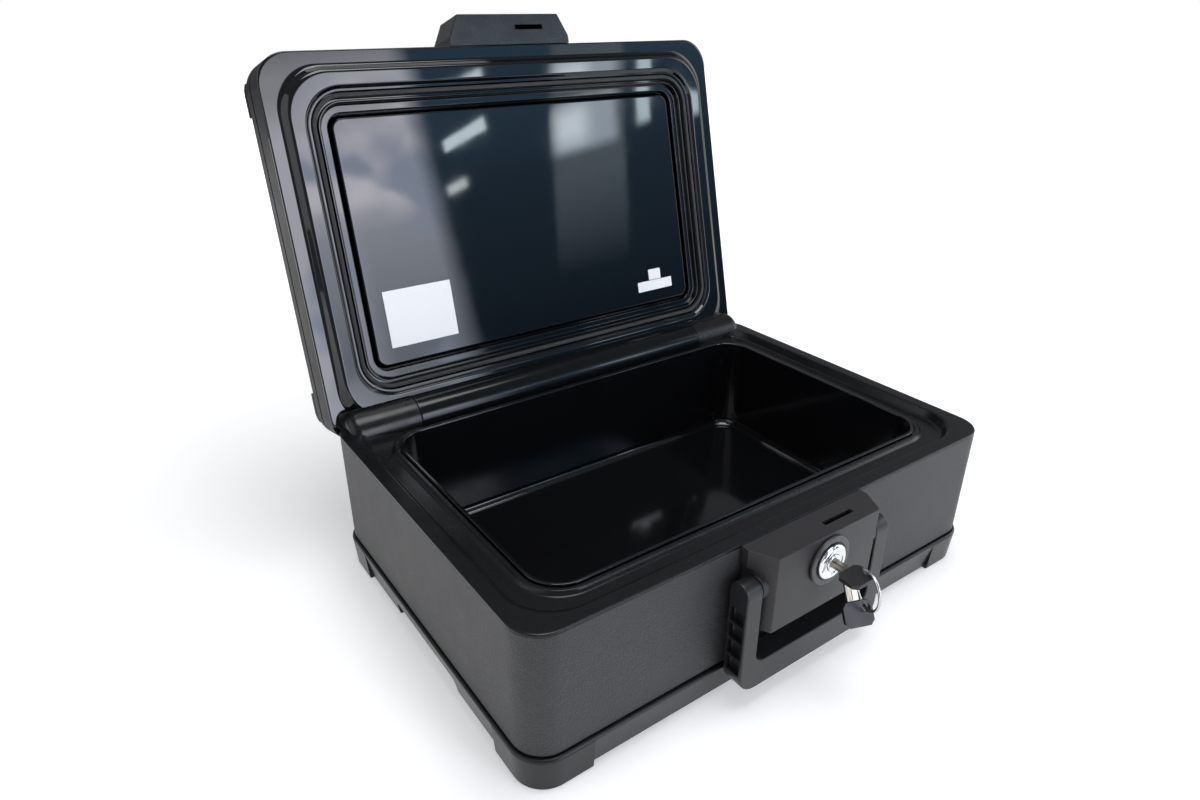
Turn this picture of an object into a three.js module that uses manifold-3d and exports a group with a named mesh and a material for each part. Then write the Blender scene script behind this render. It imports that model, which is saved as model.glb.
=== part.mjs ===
// Fireproof chest: an insulated base with a moulded tub, a hinged insulated lid,
// a key lock with a rotary hook, a bail handle and two keys on a ring. Millimetres, +Z up.
// The origin is the centre of the tray's flat underside; the corner feet reach below it.
import * as THREE from "three";
import { mergeVertices } from "three/addons/utils/BufferGeometryUtils.js";
import Module from "manifold-3d";

const wasm = await Module();
wasm.setup();

// Clearances.
const gap = 0.3;
const turningGap = 0.8;
const troughGap = 1.3;

// Outline of the closed chest.
const sideRim = 32.2;
const frontRim = 31.75;
const rearRim = 38.15;
const cornerRadius = 22.7;
const lidCornerRadius = 24;
const seamHeight = 116.8;
const wallTaper = 0.8;
const wallThickness = 2.5;
const cornerSteps = 6;

// Inside of the tub.
const cavityWidth = 365.6;
const cavityDepth = 231.3;
const cavityRadius = 25.8;
const tubFloorHeight = 26;
const tubDraft = 4.5;
const linerThickness = 2;
const linerFloorThickness = 2.3;
const linerLipRise = 1.3;
const linerLipWidth = 2.8;

// Rim that covers the top of the base.
const rimLip = 2;
const rimEdgeRounding = 1.6;
const flangeWidth = 11;
const flangeInnerRadius = 36;
const rimStepRun = 3.5;
const rimStepDrop = 7;
const rimThickness = 3;
const beadWidth = 3.4;
const beadHeight = 2.8;
const beadOutset = 0.8;

// Tray with its skirt, feet and hand-lift gaps.
const trayThickness = 2.5;
const footDrop = 4;
const footInset = 0.8;
const footLengthX = 45;
const footLengthY = 45.6;
const footWidth = 12;
const skirtDrop = 2.3;
const skirtDraft = 5;
const skirtWidth = 3;
const ledgeHeight = 22.5;
const ledgeReach = 2.5;
const ledgeRounding = 2;
const ledgeShadow = 1.8;
const shellRecess = 2.5;
const shellFoot = 2.7;
const floorRounding = 2.5;
const liftGapLength = 98;
const liftGapHeight = 10.5;
const liftGapDepth = 26;
const liftGapRounding = 5;
const trayScrewFromSide = 65;
const trayScrewFromFront = 42.6;
const trayScrewSink = 1.5;
const trayScrewHead = 1;

// Lid.
const lidAngle = 103.6;
const lidHeight = 44;
const lidThickness = 2.5;
const lidTopThickness = 2.5;
const lidEdgeRounding = 9;
const lidLip = 2;
const grooveHeight = 25;
const grooveWidth = 1.8;
const grooveDepth = 2.2;
const padRise = 4;
const padStart = 15;
const padEnd = 40;
const padInset = 0.6;
const lidPlateauDrop = 5.8;
const lidStepRun = 4.2;
const lidPlateauWidth = 8.5;
const lidSlopeDrop = 3;
const gasketOutset = 1.4;
const gasketInset = 5;
const gasketDepth = 3;
const gasketWidth = 3.6;
const gasketOffset = 0.5;
const bandStart = 5.8;
const bandEnd = 14.3;
const bandRise = 5;
const panelEdge = 16.4;
const panelRise = 8;
const moatRise = 10.5;
const lidLinerThickness = 2.2;

// Hinge.
const hingeFromRear = 10.6;
const hingeBelowSeam = 6.4;
const drumRadius = 18;
const drumSeam = 0.8;
const knuckleFromSide = 7.4;
const knuckleLength = 57.55;
const liningThickness = 2.2;
const hingePinRadius = 4;
const hingePinReach = 12;
const hingeScrewHeight = 10;
const hingeScrewSink = 5;
const hingeScrewBite = 4.5;
const hingeScrewFromEnd = 29.75;

// Lock housing on the base and the matching tab on the lid.
const housingHalfWidth = 57.5;
const housingSplay = 9;
const housingStraight = 6.4;
const housingDepth = 24.4;
const housingTopDrop = 0.8;
const housingHeight = 59.5;
const housingTaper = 1;
const housingWall = 2.5;
const tabHeight = 34;
const tabFloorThickness = 1.5;
const tabScrewLow = 7;
const tabScrewHigh = 17;
const slotRight = 32;
const slotLeft = 3.5;
const tabSlotLeft = 4.6;
const hookPlane = 13.9;
const hookThickness = 3;

// Lock.
const lockBelowSeam = 21.3;
const bezelRadius = 18;
const bezelRise = 2;
const lockFaceRadius = 12.75;
const lockFaceRise = 3.2;
const lockBarrelRadius = 9.5;
const plugRadius = 6;
const plugRise = 0.4;
const nutRadius = 14;
const nutThickness = 3;
const barrelBehindNut = 1.9;
const hookInnerRadius = 26;
const hookOuterRadius = 31;
const hookHubRadius = 7.5;
const hookStart = -25;
const hookEnd = 10;
const hookHubStart = -5;
const hookHubSweep = 300;
const plugStub = 3;
const camScrewHead = 5;
const strikeThickness = 1.8;
const strikeLeft = -22;
const strikeScrewX = -16;
const strikeScrewHead = 3;

// Handle.
const handleReach = 11.2;
const handleArmWidth = 13.1;
const handleDepth = 16.5;
const handlePivotFront = 12.4;
const handlePivotBelowSeam = 26.3;
const handleBarBottom = 12;
const handleBarHeight = 21;
const handleCornerRadius = 14;
const handleInnerRadius = 8;
const pivotPinRadius = 3;
const pivotBossRadius = 8.4;
const pivotBossLength = 11.6;
const pivotPinInHousing = 9.6;
const pivotPinInArm = 8;
const pocketCount = 4;
const pocketPitch = 13.4;
const pocketRib = 2;
const pocketDepth = 4;
const pocketMargin = 2.4;

// Keys and ring.
const bladeWidth = 8;
const bladeThickness = 2.2;
const bladeInside = 12;
const bladeOutside = 9;
const bowWidth = 21;
const bowLength = 16.5;
const bowThickness = 3;
const bowChamfer = 3;
const ringRadius = 13;
const ringWire = 1.1;
const ringTurn = 20;
const ringOffsetX = 6;
const strapWidth = 3.6;

// Screws.
const screwRadius = 1.7;
const screwHeadRadius = 3.6;
const screwHeadHeight = 1.6;
const screwSides = 8;
const screwLength = 14;
const smallScrewRadius = 1.3;
const frontScrewFromEnd = 15.5;
const housingScrewInset = 8;
const screwPostRadius = 4;
const screwPostDepth = 13;

// Labels on the lid's inner panel, from the tub's left or right side and from the chest's rear.
const labelThickness = 0.4;
const labelPlaces = {
  large: { side: -1, outer: 30.3, width: 60.3, rear: 68.8, front: 115.8 },
  square: { side: 1, outer: 49, width: 14.8, rear: 77.8, front: 88 },
  strip: { side: 1, outer: 35.8, width: 42.3, rear: 67.4, front: 77.2 },
};

const looks = {
  shell: { color: 0x35363a, roughness: 0.72, metalness: 0 },
  satin: { color: 0x232428, roughness: 0.42, metalness: 0 },
  gloss: { color: 0x14161a, roughness: 0.16, metalness: 0 },
  housing: { color: 0x242325, roughness: 0.6, metalness: 0 },
  filling: { color: 0xb9b4a8, roughness: 0.95, metalness: 0 },
  rubber: { color: 0x101112, roughness: 0.8, metalness: 0 },
  chrome: { color: 0xd8dade, roughness: 0.12, metalness: 1 },
  steel: { color: 0xa9abae, roughness: 0.34, metalness: 1 },
  nickel: { color: 0xcfc8b8, roughness: 0.25, metalness: 1 },
  label: { color: 0xf4f5f7, roughness: 0.5, metalness: 0 },
};

// Heights and places that several pieces share.
const halfWidth = cavityWidth / 2 + sideRim;
const halfDepth = (cavityDepth + frontRim + rearRim) / 2;
const cavityShift = (frontRim - rearRim) / 2;
const knuckleEnd = halfWidth - knuckleFromSide;
const knuckleStart = knuckleEnd - knuckleLength;
const drumHalfLength = knuckleStart - gap;
const lidPlane = seamHeight + gap;
const shellTop = seamHeight - rimLip - gap;
const plateauHeight = seamHeight - rimStepDrop;
const rimUnderside = plateauHeight - rimThickness;
const flangeUnderside = seamHeight - rimLip - 1.2;
const flangeSeat = wallThickness + 0.4;
const shellStep = ledgeHeight + ledgeShadow;
const shellUnderside = trayThickness + gap;
const shellFloor = shellUnderside + wallThickness;
const linerLipTop = plateauHeight + beadHeight + linerLipRise;
const hingeY = halfDepth - hingeFromRear;
const hingeZ = seamHeight - hingeBelowSeam;
const hingeCentre = [0, hingeY, hingeZ];
const lidTop = lidPlane + lidHeight;
const lockZ = seamHeight - lockBelowSeam;
const lockCentre = [0, 0, lockZ];
const housingBack = -halfDepth - gap;
const housingTop = seamHeight - housingTopDrop;
const housingBottom = housingTop - housingHeight;
const hookFront = -halfDepth - hookPlane - hookThickness / 2;
const pivotY = -halfDepth - handlePivotFront;
const pivotZ = seamHeight - handlePivotBelowSeam;
const pivotCentre = [0, pivotY, pivotZ];
const housingFrontHalfWidth = housingHalfWidth - housingSplay;
const frontScrewX = housingHalfWidth - frontScrewFromEnd;
const handleHalfWidth = housingHalfWidth + handleReach;
const armInner = handleHalfWidth - handleArmWidth;
const pivotBossInner = armInner - pivotBossLength;
const pivotPinInner = armInner - pivotPinInHousing;

// Frames: each puts a flat loop (u, v) at a distance w along its axis.
const alongZ = (u, v, w) => [u, v, w];
const alongFront = (u, v, w) => [u, -w, v];
const alongX = (u, v, w) => [w, u, v];
const alongSide = (side) => (side > 0 ? alongX : (u, v, w) => [-w, -u, v]);

// A loop of points round a rectangle with rounded corners, anticlockwise from above.
function rectangleLoop(x0, x1, y0, y1, radius, z) {
  const r = Math.max(radius, 0.5);
  const corners = [
    [x1 - r, y0 + r, -90],
    [x1 - r, y1 - r, 0],
    [x0 + r, y1 - r, 90],
    [x0 + r, y0 + r, 180],
  ];
  const points = [];
  for (const [cx, cy, start] of corners) {
    for (let i = 0; i <= cornerSteps; i += 1) {
      const angle = THREE.MathUtils.degToRad(start + (90 * i) / cornerSteps);
      points.push([cx + r * Math.cos(angle), cy + r * Math.sin(angle), z]);
    }
  }
  return points;
}

// A loop a given distance in from the chest's outer wall.
function wallLoop(inset, z, radius = cornerRadius - inset) {
  const x = halfWidth - inset;
  const y = halfDepth - inset;
  return rectangleLoop(-x, x, -y, y, radius, z);
}

// A loop a given distance outside the tub's mouth, negative for inside it.
function cavityLoop(offset, z, radius = cavityRadius + offset) {
  const x = cavityWidth / 2 + offset;
  const y = cavityDepth / 2 + offset;
  return rectangleLoop(-x, x, cavityShift - y, cavityShift + y, radius, z);
}

// A body between loops of equal point counts: closed on itself, or capped at both ends.
function loft(loops, closed = false) {
  const count = loops[0].length;
  const positions = loops.flat(2);
  const index = [];
  const spans = closed ? loops.length : loops.length - 1;
  for (let i = 0; i < spans; i += 1) {
    const a = i * count;
    const b = ((i + 1) % loops.length) * count;
    for (let j = 0; j < count; j += 1) {
      const k = (j + 1) % count;
      index.push(a + j, a + k, b + k, a + j, b + k, b + j);
    }
  }
  if (!closed) {
    addCap(index, loops[0], 0, true);
    addCap(index, loops[loops.length - 1], (loops.length - 1) * count, false);
  }
  const geometry = new THREE.BufferGeometry();
  geometry.setAttribute("position", new THREE.Float32BufferAttribute(positions, 3));
  geometry.setIndex(index);
  return geometry;
}

// Fills a flat loop; the loop's plane is found from its own points.
function addCap(index, loop, offset, reversed) {
  const points = loop.map((point) => new THREE.Vector3(...point));
  const normal = new THREE.Vector3();
  points.forEach((point, i) => {
    normal.add(new THREE.Vector3().crossVectors(point, points[(i + 1) % points.length]));
  });
  normal.normalize();
  const across = new THREE.Vector3().subVectors(points[1], points[0]).normalize();
  const along = new THREE.Vector3().crossVectors(normal, across);
  const flat = points.map((point) => new THREE.Vector2(point.dot(across), point.dot(along)));
  for (const [a, b, c] of THREE.ShapeUtils.triangulateShape(flat, [])) {
    index.push(offset + a, offset + (reversed ? c : b), offset + (reversed ? b : c));
  }
}

// A body turned about an axis from a profile of [radius, distance along the axis].
function turned(profile, frame, centre, segments = 24, closed = false) {
  const loops = profile.map(([radius, w]) => {
    const loop = [];
    for (let i = 0; i < segments; i += 1) {
      const angle = (2 * Math.PI * (i + 0.5)) / segments;
      loop.push(frame(radius * Math.cos(angle), radius * Math.sin(angle), w));
    }
    return loop;
  });
  const geometry = loft(loops, closed);
  geometry.translate(...centre);
  return geometry;
}

function rod(radius, start, end, frame, centre, segments = 16) {
  return turned([[radius, start], [radius, end]], frame, centre, segments);
}

// A hinge-line cylinder between two x positions.
function hingeRod(radius, x0, x1, segments = 32) {
  return rod(radius, x0, x1, alongX, hingeCentre, segments);
}

function block(x0, x1, y0, y1, z0, z1) {
  const geometry = new THREE.BoxGeometry(x1 - x0, y1 - y0, z1 - z0);
  geometry.translate((x0 + x1) / 2, (y0 + y1) / 2, (z0 + z1) / 2);
  return geometry;
}

// An outline given in a frame's (u, v) plane and carried from w0 to w1.
function prism(outline, w0, w1, frame) {
  const loops = [w0, w1].map((w) => outline.map(([u, v]) => frame(u, v, w)));
  return loft(loops);
}

// A rectangle with rounded corners as a flat outline.
function roundedOutline(u0, u1, v0, v1, radius, steps = 4) {
  const centres = [
    [u1 - radius, v0 + radius, -90],
    [u1 - radius, v1 - radius, 0],
    [u0 + radius, v1 - radius, 90],
    [u0 + radius, v0 + radius, 180],
  ];
  const outline = [];
  for (const [cu, cv, start] of centres) {
    for (let i = 0; i <= steps; i += 1) {
      const angle = THREE.MathUtils.degToRad(start + (90 * i) / steps);
      outline.push([cu + radius * Math.cos(angle), cv + radius * Math.sin(angle)]);
    }
  }
  return outline;
}

function solidOf(geometry) {
  const plain = geometry.clone();
  plain.deleteAttribute("normal");
  plain.deleteAttribute("uv");
  const merged = mergeVertices(plain, 1e-5);
  const vertProperties = new Float32Array(merged.attributes.position.array);
  const triVerts = new Uint32Array(merged.index.array);
  return new wasm.Manifold(new wasm.Mesh({ numProp: 3, vertProperties, triVerts }));
}

function geometryOf(solid) {
  const { vertProperties, triVerts } = solid.getMesh();
  const geometry = new THREE.BufferGeometry();
  geometry.setAttribute("position", new THREE.Float32BufferAttribute(vertProperties, 3));
  geometry.setIndex(Array.from(triVerts));
  return geometry;
}

function joined(parts) {
  return parts.map(solidOf).reduce((sum, solid) => sum.add(solid));
}

// A body with pieces joined on first and others cut away afterwards.
function shaped(base, additions, cuts) {
  let solid = joined([base, ...additions]);
  for (const cut of cuts) {
    solid = solid.subtract(solidOf(cut));
  }
  return geometryOf(solid);
}

// Both mirror images of a body about the plane x = 0.
function bothSides(make) {
  return [make(-1), make(1)];
}

function pieceOf(name, geometry, look) {
  const flat = geometry.index ? geometry.toNonIndexed() : geometry;
  flat.computeVertexNormals();
  const mesh = new THREE.Mesh(flat, new THREE.MeshStandardMaterial(looks[look]));
  mesh.name = name;
  return mesh;
}

// One named mesh for each copy of a repeated piece.
function copiesOf(name, geometries, look) {
  return geometries.map((geometry, i) => pieceOf(`${name}_${i + 1}`, geometry, look));
}

// Screw pattern places.
const trayScrewPlaces = [];
for (const side of [-1, 1]) {
  for (const end of [-1, 1]) {
    trayScrewPlaces.push([side * (halfWidth - trayScrewFromSide), end * (halfDepth - trayScrewFromFront)]);
  }
}

// A screw that points along a frame's axis, its head's seat at the start.
function screw(frame, centre, length, headHeight = screwHeadHeight) {
  const profile = [
    [screwHeadRadius, -headHeight],
    [screwHeadRadius, 0],
    [screwRadius, 0],
    [screwRadius, length],
  ];
  return turned(profile, frame, centre, screwSides);
}

function screwHole(frame, centre, start, end) {
  return rod(screwRadius + gap, start, end, frame, centre, screwSides);
}

// Base

// The recess under each short side where fingers lift the chest.
function liftRecess(side) {
  const outline = roundedOutline(
    -liftGapLength / 2,
    liftGapLength / 2,
    -footDrop - 2 * liftGapRounding,
    liftGapHeight,
    liftGapRounding,
  );
  const inner = halfWidth - liftGapDepth;
  const outer = halfWidth + ledgeReach + liftGapRounding;
  return side > 0 ? prism(outline, inner, outer, alongX) : prism(outline, -outer, -inner, alongX);
}

// A block over that recess, larger by a given wall on its roof, ends and back.
function liftBlock(side, grow, bottom, outer) {
  const y = liftGapLength / 2 + grow;
  const inner = halfWidth - liftGapDepth - grow;
  const top = liftGapHeight + grow;
  return block(side > 0 ? inner : -outer, side > 0 ? outer : -inner, -y, y, bottom, top);
}

// Cuts along the hinge line that clear the base rim's lining and knuckles.
function hingePocket(clearance) {
  const lining = drumRadius + troughGap + liningThickness + clearance;
  const liningEnd = drumHalfLength + drumSeam + liningThickness + clearance;
  return [hingeRod(lining, -liningEnd, liningEnd), ...bothSides((side) => knuckle(side, clearance, 0))];
}

// A rounded hinge end that stands on the rim.
function knuckle(side, clearance, start) {
  const r = drumRadius + clearance;
  const end = knuckleEnd + clearance;
  const x0 = start || drumHalfLength - 2;
  const profile = [[r, x0], [r, end - 8], [r * 0.94, end - 4], [r * 0.79, end - 1.2], [r * 0.58, end]];
  return turned(profile, alongSide(side), hingeCentre, 28);
}

const shellLoops = [
  wallLoop(wallTaper + shellRecess + shellFoot + floorRounding, shellUnderside, 17),
  wallLoop(wallTaper + shellRecess + shellFoot, shellUnderside + floorRounding),
  wallLoop(wallTaper + shellRecess, shellStep),
  wallLoop(wallTaper, shellStep),
  wallLoop(0, shellTop),
  wallLoop(wallThickness, shellTop),
  wallLoop(wallTaper + wallThickness, shellStep + wallThickness),
  wallLoop(wallTaper + shellRecess + wallThickness, shellStep + wallThickness),
  wallLoop(wallTaper + shellRecess + shellFoot + wallThickness, shellFloor + 2),
  wallLoop(wallTaper + shellRecess + shellFoot + floorRounding + 2, shellFloor, 15),
];

const housingScrewPlaces = [];
for (const x of [-frontScrewX, frontScrewX]) {
  for (const z of [housingBottom + housingScrewInset, housingTop - housingScrewInset]) {
    housingScrewPlaces.push([x, z]);
  }
}
const housingScrewSeat = -halfDepth + wallThickness + gap + wallTaper;

const baseShell = shaped(
  loft(shellLoops),
  bothSides((side) =>
    liftBlock(
      side,
      trayThickness + gap + wallThickness,
      shellUnderside + floorRounding,
      halfWidth - wallTaper - shellRecess - shellFoot,
    ),
  ),
  [
    ...bothSides((side) => liftBlock(side, trayThickness + gap, -footDrop, halfWidth + ledgeReach)),
    ...hingePocket(gap),
    ...trayScrewPlaces.map(([x, y]) => screwHole(alongZ, [x, y, 0], -1, shellFloor + 1)),
    ...housingScrewPlaces.map(([x, z]) => screwHole(alongFront, [x, 0, z], halfDepth - 6, halfDepth + 1)),
  ],
);

const stepOutside = flangeWidth - rimThickness - 2 * gap;
const insulationLoops = [
  wallLoop(wallTaper + shellRecess + shellFoot + floorRounding + 2 + gap, shellFloor + gap, 15),
  wallLoop(wallTaper + shellRecess + shellFoot + wallThickness + gap, shellFloor + 2 + gap),
  wallLoop(wallTaper + shellRecess + wallThickness + gap, shellStep + wallThickness + gap),
  wallLoop(wallTaper + wallThickness + gap, shellStep + wallThickness + gap),
  wallLoop(wallThickness + gap, flangeUnderside - gap),
  wallLoop(stepOutside, flangeUnderside - gap, flangeInnerRadius + rimThickness),
  wallLoop(stepOutside + rimStepRun, rimUnderside - gap, flangeInnerRadius + 1),
  cavityLoop(-0.7, rimUnderside - gap),
  cavityLoop(-0.7 - tubDraft, tubFloorHeight + 6),
  cavityLoop(-2.5 - tubDraft, tubFloorHeight + 0.8),
  cavityLoop(-8.8 - tubDraft, tubFloorHeight - linerFloorThickness - gap),
];

const baseInsulation = shaped(loft(insulationLoops), [], [
  ...bothSides((side) => liftBlock(side, trayThickness + wallThickness + 2 * gap, 0, halfWidth)),
  ...hingePocket(gap),
  ...trayScrewPlaces.map(([x, y]) => screwHole(alongZ, [x, y, 0], 1, screwLength + gap)),
  ...housingScrewPlaces.map(([x, z]) =>
    rod(screwHeadRadius + gap, halfDepth - 8, halfDepth, alongFront, [x, 0, z], screwSides),
  ),
]);

const rimLoops = [
  wallLoop(0, seamHeight - rimLip),
  wallLoop(0, seamHeight - rimEdgeRounding),
  wallLoop(rimEdgeRounding * 0.3, seamHeight - rimEdgeRounding * 0.3),
  wallLoop(rimEdgeRounding, seamHeight),
  wallLoop(flangeWidth, seamHeight, flangeInnerRadius),
  wallLoop(flangeWidth + rimStepRun, plateauHeight, flangeInnerRadius - 2),
  cavityLoop(beadOutset + beadWidth + 2, plateauHeight),
  cavityLoop(beadOutset + beadWidth, plateauHeight + beadHeight - 0.5),
  cavityLoop(beadOutset + beadWidth - 0.6, plateauHeight + beadHeight),
  cavityLoop(beadOutset, plateauHeight + beadHeight),
  cavityLoop(beadOutset, rimUnderside),
  wallLoop(flangeWidth + rimStepRun - rimThickness, rimUnderside, flangeInnerRadius + 1),
  wallLoop(flangeWidth - rimThickness, flangeUnderside, flangeInnerRadius + rimThickness),
  wallLoop(flangeSeat, flangeUnderside),
  wallLoop(flangeSeat, seamHeight - rimLip),
];

const liningRadius = drumRadius + troughGap + liningThickness;
const liningEnd = drumHalfLength + drumSeam + liningThickness;
const lining = solidOf(hingeRod(liningRadius, -liningEnd, liningEnd)).intersect(
  solidOf(block(-halfWidth, halfWidth, 0, halfDepth, 0, plateauHeight)),
);
const troughEnd = drumHalfLength + drumSeam;
const pinHoleEnd = drumHalfLength + hingePinReach + gap;
const baseRim = geometryOf(
  solidOf(loft(rimLoops, true))
    .add(lining)
    .subtract(solidOf(hingeRod(drumRadius + troughGap, -troughEnd, troughEnd)))
    .add(solidOf(knuckle(1, 0, knuckleStart)))
    .add(solidOf(knuckle(-1, 0, knuckleStart)))
    .subtract(solidOf(hingeRod(hingePinRadius + gap, -pinHoleEnd, pinHoleEnd, 16))),
);

const linerLoops = [
  cavityLoop(-9 - tubDraft, tubFloorHeight - linerFloorThickness),
  cavityLoop(-2.8 - tubDraft, tubFloorHeight + 1),
  cavityLoop(-1 - tubDraft, tubFloorHeight + 6),
  cavityLoop(-1, rimUnderside),
  cavityLoop(-0.2, rimUnderside),
  cavityLoop(-0.2, linerLipTop - 0.5),
  cavityLoop(-0.7, linerLipTop),
  cavityLoop(-0.2 - linerLipWidth, linerLipTop),
  cavityLoop(-1 - linerThickness - tubDraft, tubFloorHeight + 7),
  cavityLoop(-3 - linerThickness - tubDraft, tubFloorHeight + 2),
  cavityLoop(-8 - linerThickness - tubDraft, tubFloorHeight),
];
const baseLiner = loft(linerLoops);

const skirtInset = wallTaper - ledgeReach;
const trayLoops = [
  wallLoop(skirtInset + skirtDraft + skirtWidth + 6, 0, 15),
  wallLoop(skirtInset + skirtDraft + skirtWidth, 0),
  wallLoop(skirtInset + skirtDraft + skirtWidth, -skirtDrop),
  wallLoop(skirtInset + skirtDraft, -skirtDrop),
  wallLoop(skirtInset, ledgeHeight - ledgeRounding),
  wallLoop(skirtInset + ledgeRounding * 0.3, ledgeHeight - ledgeRounding * 0.3),
  wallLoop(skirtInset + ledgeRounding, ledgeHeight),
  wallLoop(wallTaper + shellRecess - gap, ledgeHeight),
  wallLoop(wallTaper + shellRecess + shellFoot - gap, shellUnderside + floorRounding),
  wallLoop(wallTaper + shellRecess + shellFoot + floorRounding - gap, trayThickness, 17),
];

const footLoops = [
  wallLoop(footInset + footWidth, -footDrop),
  wallLoop(footInset, -footDrop),
  wallLoop(skirtInset + 0.3, ledgeHeight - ledgeRounding - 0.2),
  wallLoop(skirtInset + 2.7, ledgeHeight - ledgeRounding - 0.2),
  wallLoop(footInset + 2.7, trayThickness * 2),
  wallLoop(footInset + 3.2, trayThickness * 0.6),
  wallLoop(footInset + footWidth, trayThickness * 0.6),
];
const footCorners = joined(
  bothSides((side) => side).flatMap((sx) =>
    bothSides((side) => {
      const x0 = sx > 0 ? halfWidth - footLengthX : -halfWidth - 9;
      const y0 = side > 0 ? halfDepth - footLengthY : -halfDepth - 9;
      return block(x0, x0 + footLengthX + 9, y0, y0 + footLengthY + 9, -9, ledgeHeight);
    }),
  ),
);
const feet = solidOf(loft(footLoops, true)).intersect(footCorners);

function liftTrayRoof(side) {
  return liftBlock(side, trayThickness, 0, halfWidth - skirtInset - skirtDraft);
}

let tray = solidOf(loft(trayLoops)).add(feet);
for (const roof of bothSides(liftTrayRoof)) {
  tray = tray.add(solidOf(roof));
}
for (const recess of bothSides(liftRecess)) {
  tray = tray.subtract(solidOf(recess));
}
for (const [x, y] of trayScrewPlaces) {
  const recess = rod(screwHeadRadius + gap, -5, trayScrewSink, alongZ, [x, y, 0], screwSides);
  tray = tray.subtract(solidOf(screwHole(alongZ, [x, y, 0], -5, 5))).subtract(solidOf(recess));
}
const baseTray = geometryOf(tray);

const trayScrews = trayScrewPlaces.map(([x, y]) =>
  screw(alongZ, [x, y, trayScrewSink - gap], screwLength - trayScrewSink, trayScrewHead),
);

// Lock housing

function housingOutline(half, frontHalf, straight, depth, backY) {
  return [
    [-half, backY],
    [-half, -halfDepth - straight],
    [-frontHalf, -halfDepth - depth],
    [frontHalf, -halfDepth - depth],
    [half, -halfDepth - straight],
    [half, backY],
  ];
}

function housingBlock(z0, z1, shrinkBottom, shrinkTop) {
  const at = (shrink, z) =>
    housingOutline(
      housingHalfWidth - shrink,
      housingFrontHalfWidth - shrink,
      housingStraight,
      housingDepth - shrink,
      housingBack,
    ).map(([x, y]) => [x, y, z]);
  return loft([at(shrinkBottom, z0), at(shrinkTop, z1)]);
}

// The hollow inside the housing or the tab, open at the back.
function housingHollow(z0, z1) {
  const outline = housingOutline(
    armInner - 0.7 - housingWall,
    housingFrontHalfWidth - housingWall - housingTaper - 0.5,
    housingStraight + 1.3,
    housingDepth - housingWall - housingTaper / 2,
    housingBack + 5,
  );
  return prism(outline, z0, z1, alongZ);
}

const armClearTop = pivotZ + handleDepth / 2 + 4;
const slotFront = -hookFront + gap + 0.1;
const slotBack = -hookFront - hookThickness - gap;
const postReach = housingDepth - housingWall;
const screwPosts = (places) =>
  places.map(([x, z]) =>
    rod(screwPostRadius, -housingBack, halfDepth + postReach, alongFront, [x, 0, z], 10),
  );
const postHoles = (places) =>
  places.map(([x, z]) => screwHole(alongFront, [x, 0, z], halfDepth - 3, halfDepth + screwPostDepth + gap));

let housingSolid = solidOf(housingBlock(housingBottom, housingTop, housingTaper, 0));
const housingCuts = [
  housingHollow(housingBottom + housingWall, housingTop - housingWall),
  ...bothSides((side) => {
    const x0 = side > 0 ? armInner - 0.5 : -housingHalfWidth - 3;
    return block(x0, x0 + housingHalfWidth + 3.5 - armInner, -halfDepth - 30, -halfDepth + 5, 0, armClearTop);
  }),
];
for (const cut of housingCuts) {
  housingSolid = housingSolid.subtract(solidOf(cut));
}
for (const post of screwPosts(housingScrewPlaces)) {
  housingSolid = housingSolid.add(solidOf(post));
}
for (const side of [-1, 1]) {
  const boss = rod(pivotBossRadius, pivotBossInner, armInner - 0.4, alongSide(side), pivotCentre, 28);
  housingSolid = housingSolid.add(solidOf(boss));
}
for (const cut of [
  block(slotLeft, slotRight, -slotFront, -slotBack, housingTop - 5, housingTop + 5),
  rod(lockBarrelRadius + gap, halfDepth + 10, halfDepth + housingDepth + 5, alongFront, lockCentre, 32),
  ...postHoles(housingScrewPlaces),
  ...[-1, 1].map((side) =>
    rod(pivotPinRadius + gap, pivotPinInner - gap, armInner + 1.9, alongSide(side), pivotCentre, 16),
  ),
]) {
  housingSolid = housingSolid.subtract(solidOf(cut));
}
const lockHousing = geometryOf(housingSolid);

const housingScrews = housingScrewPlaces.map(([x, z]) =>
  screw(alongFront, [x, housingScrewSeat, z], screwLength),
);

// Lock

const bezelBack = halfDepth + housingDepth + gap;
const bezelFront = bezelBack + bezelRise;
const flangeBack = bezelFront + gap - 0.9;
const lockFront = flangeBack + lockFaceRise;
const wallInside = halfDepth + housingDepth - housingWall - housingTaper / 2;
const nutFront = wallInside - gap;
const barrelBack = nutFront - nutThickness - barrelBehindNut;

const lockBezel = turned(
  [
    [lockBarrelRadius + gap, bezelBack],
    [bezelRadius, bezelBack],
    [bezelRadius, bezelFront - 0.6],
    [bezelRadius - 0.6, bezelFront],
    [lockFaceRadius + 1.3, bezelFront],
    [lockFaceRadius + 0.6, bezelFront - 1.2],
    [lockBarrelRadius + gap, bezelFront - 1.2],
  ],
  alongFront,
  lockCentre,
  28,
  true,
);

const lockBody = turned(
  [
    [plugRadius + gap, barrelBack],
    [lockBarrelRadius, barrelBack],
    [lockBarrelRadius, flangeBack],
    [lockFaceRadius, flangeBack],
    [lockFaceRadius, lockFront - 1.8],
    [lockFaceRadius - 0.8, lockFront - 0.7],
    [lockFaceRadius - 2.6, lockFront],
    [plugRadius + gap, lockFront],
  ],
  alongFront,
  lockCentre,
  28,
  true,
);

const nutHole = lockBarrelRadius + gap;
const lockNut = shaped(
  turned([[nutRadius, nutFront - nutThickness], [nutRadius, nutFront]], alongFront, lockCentre, 6),
  [],
  [rod(nutHole, nutFront - nutThickness - 1, nutFront + 1, alongFront, lockCentre, 32)],
);

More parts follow.
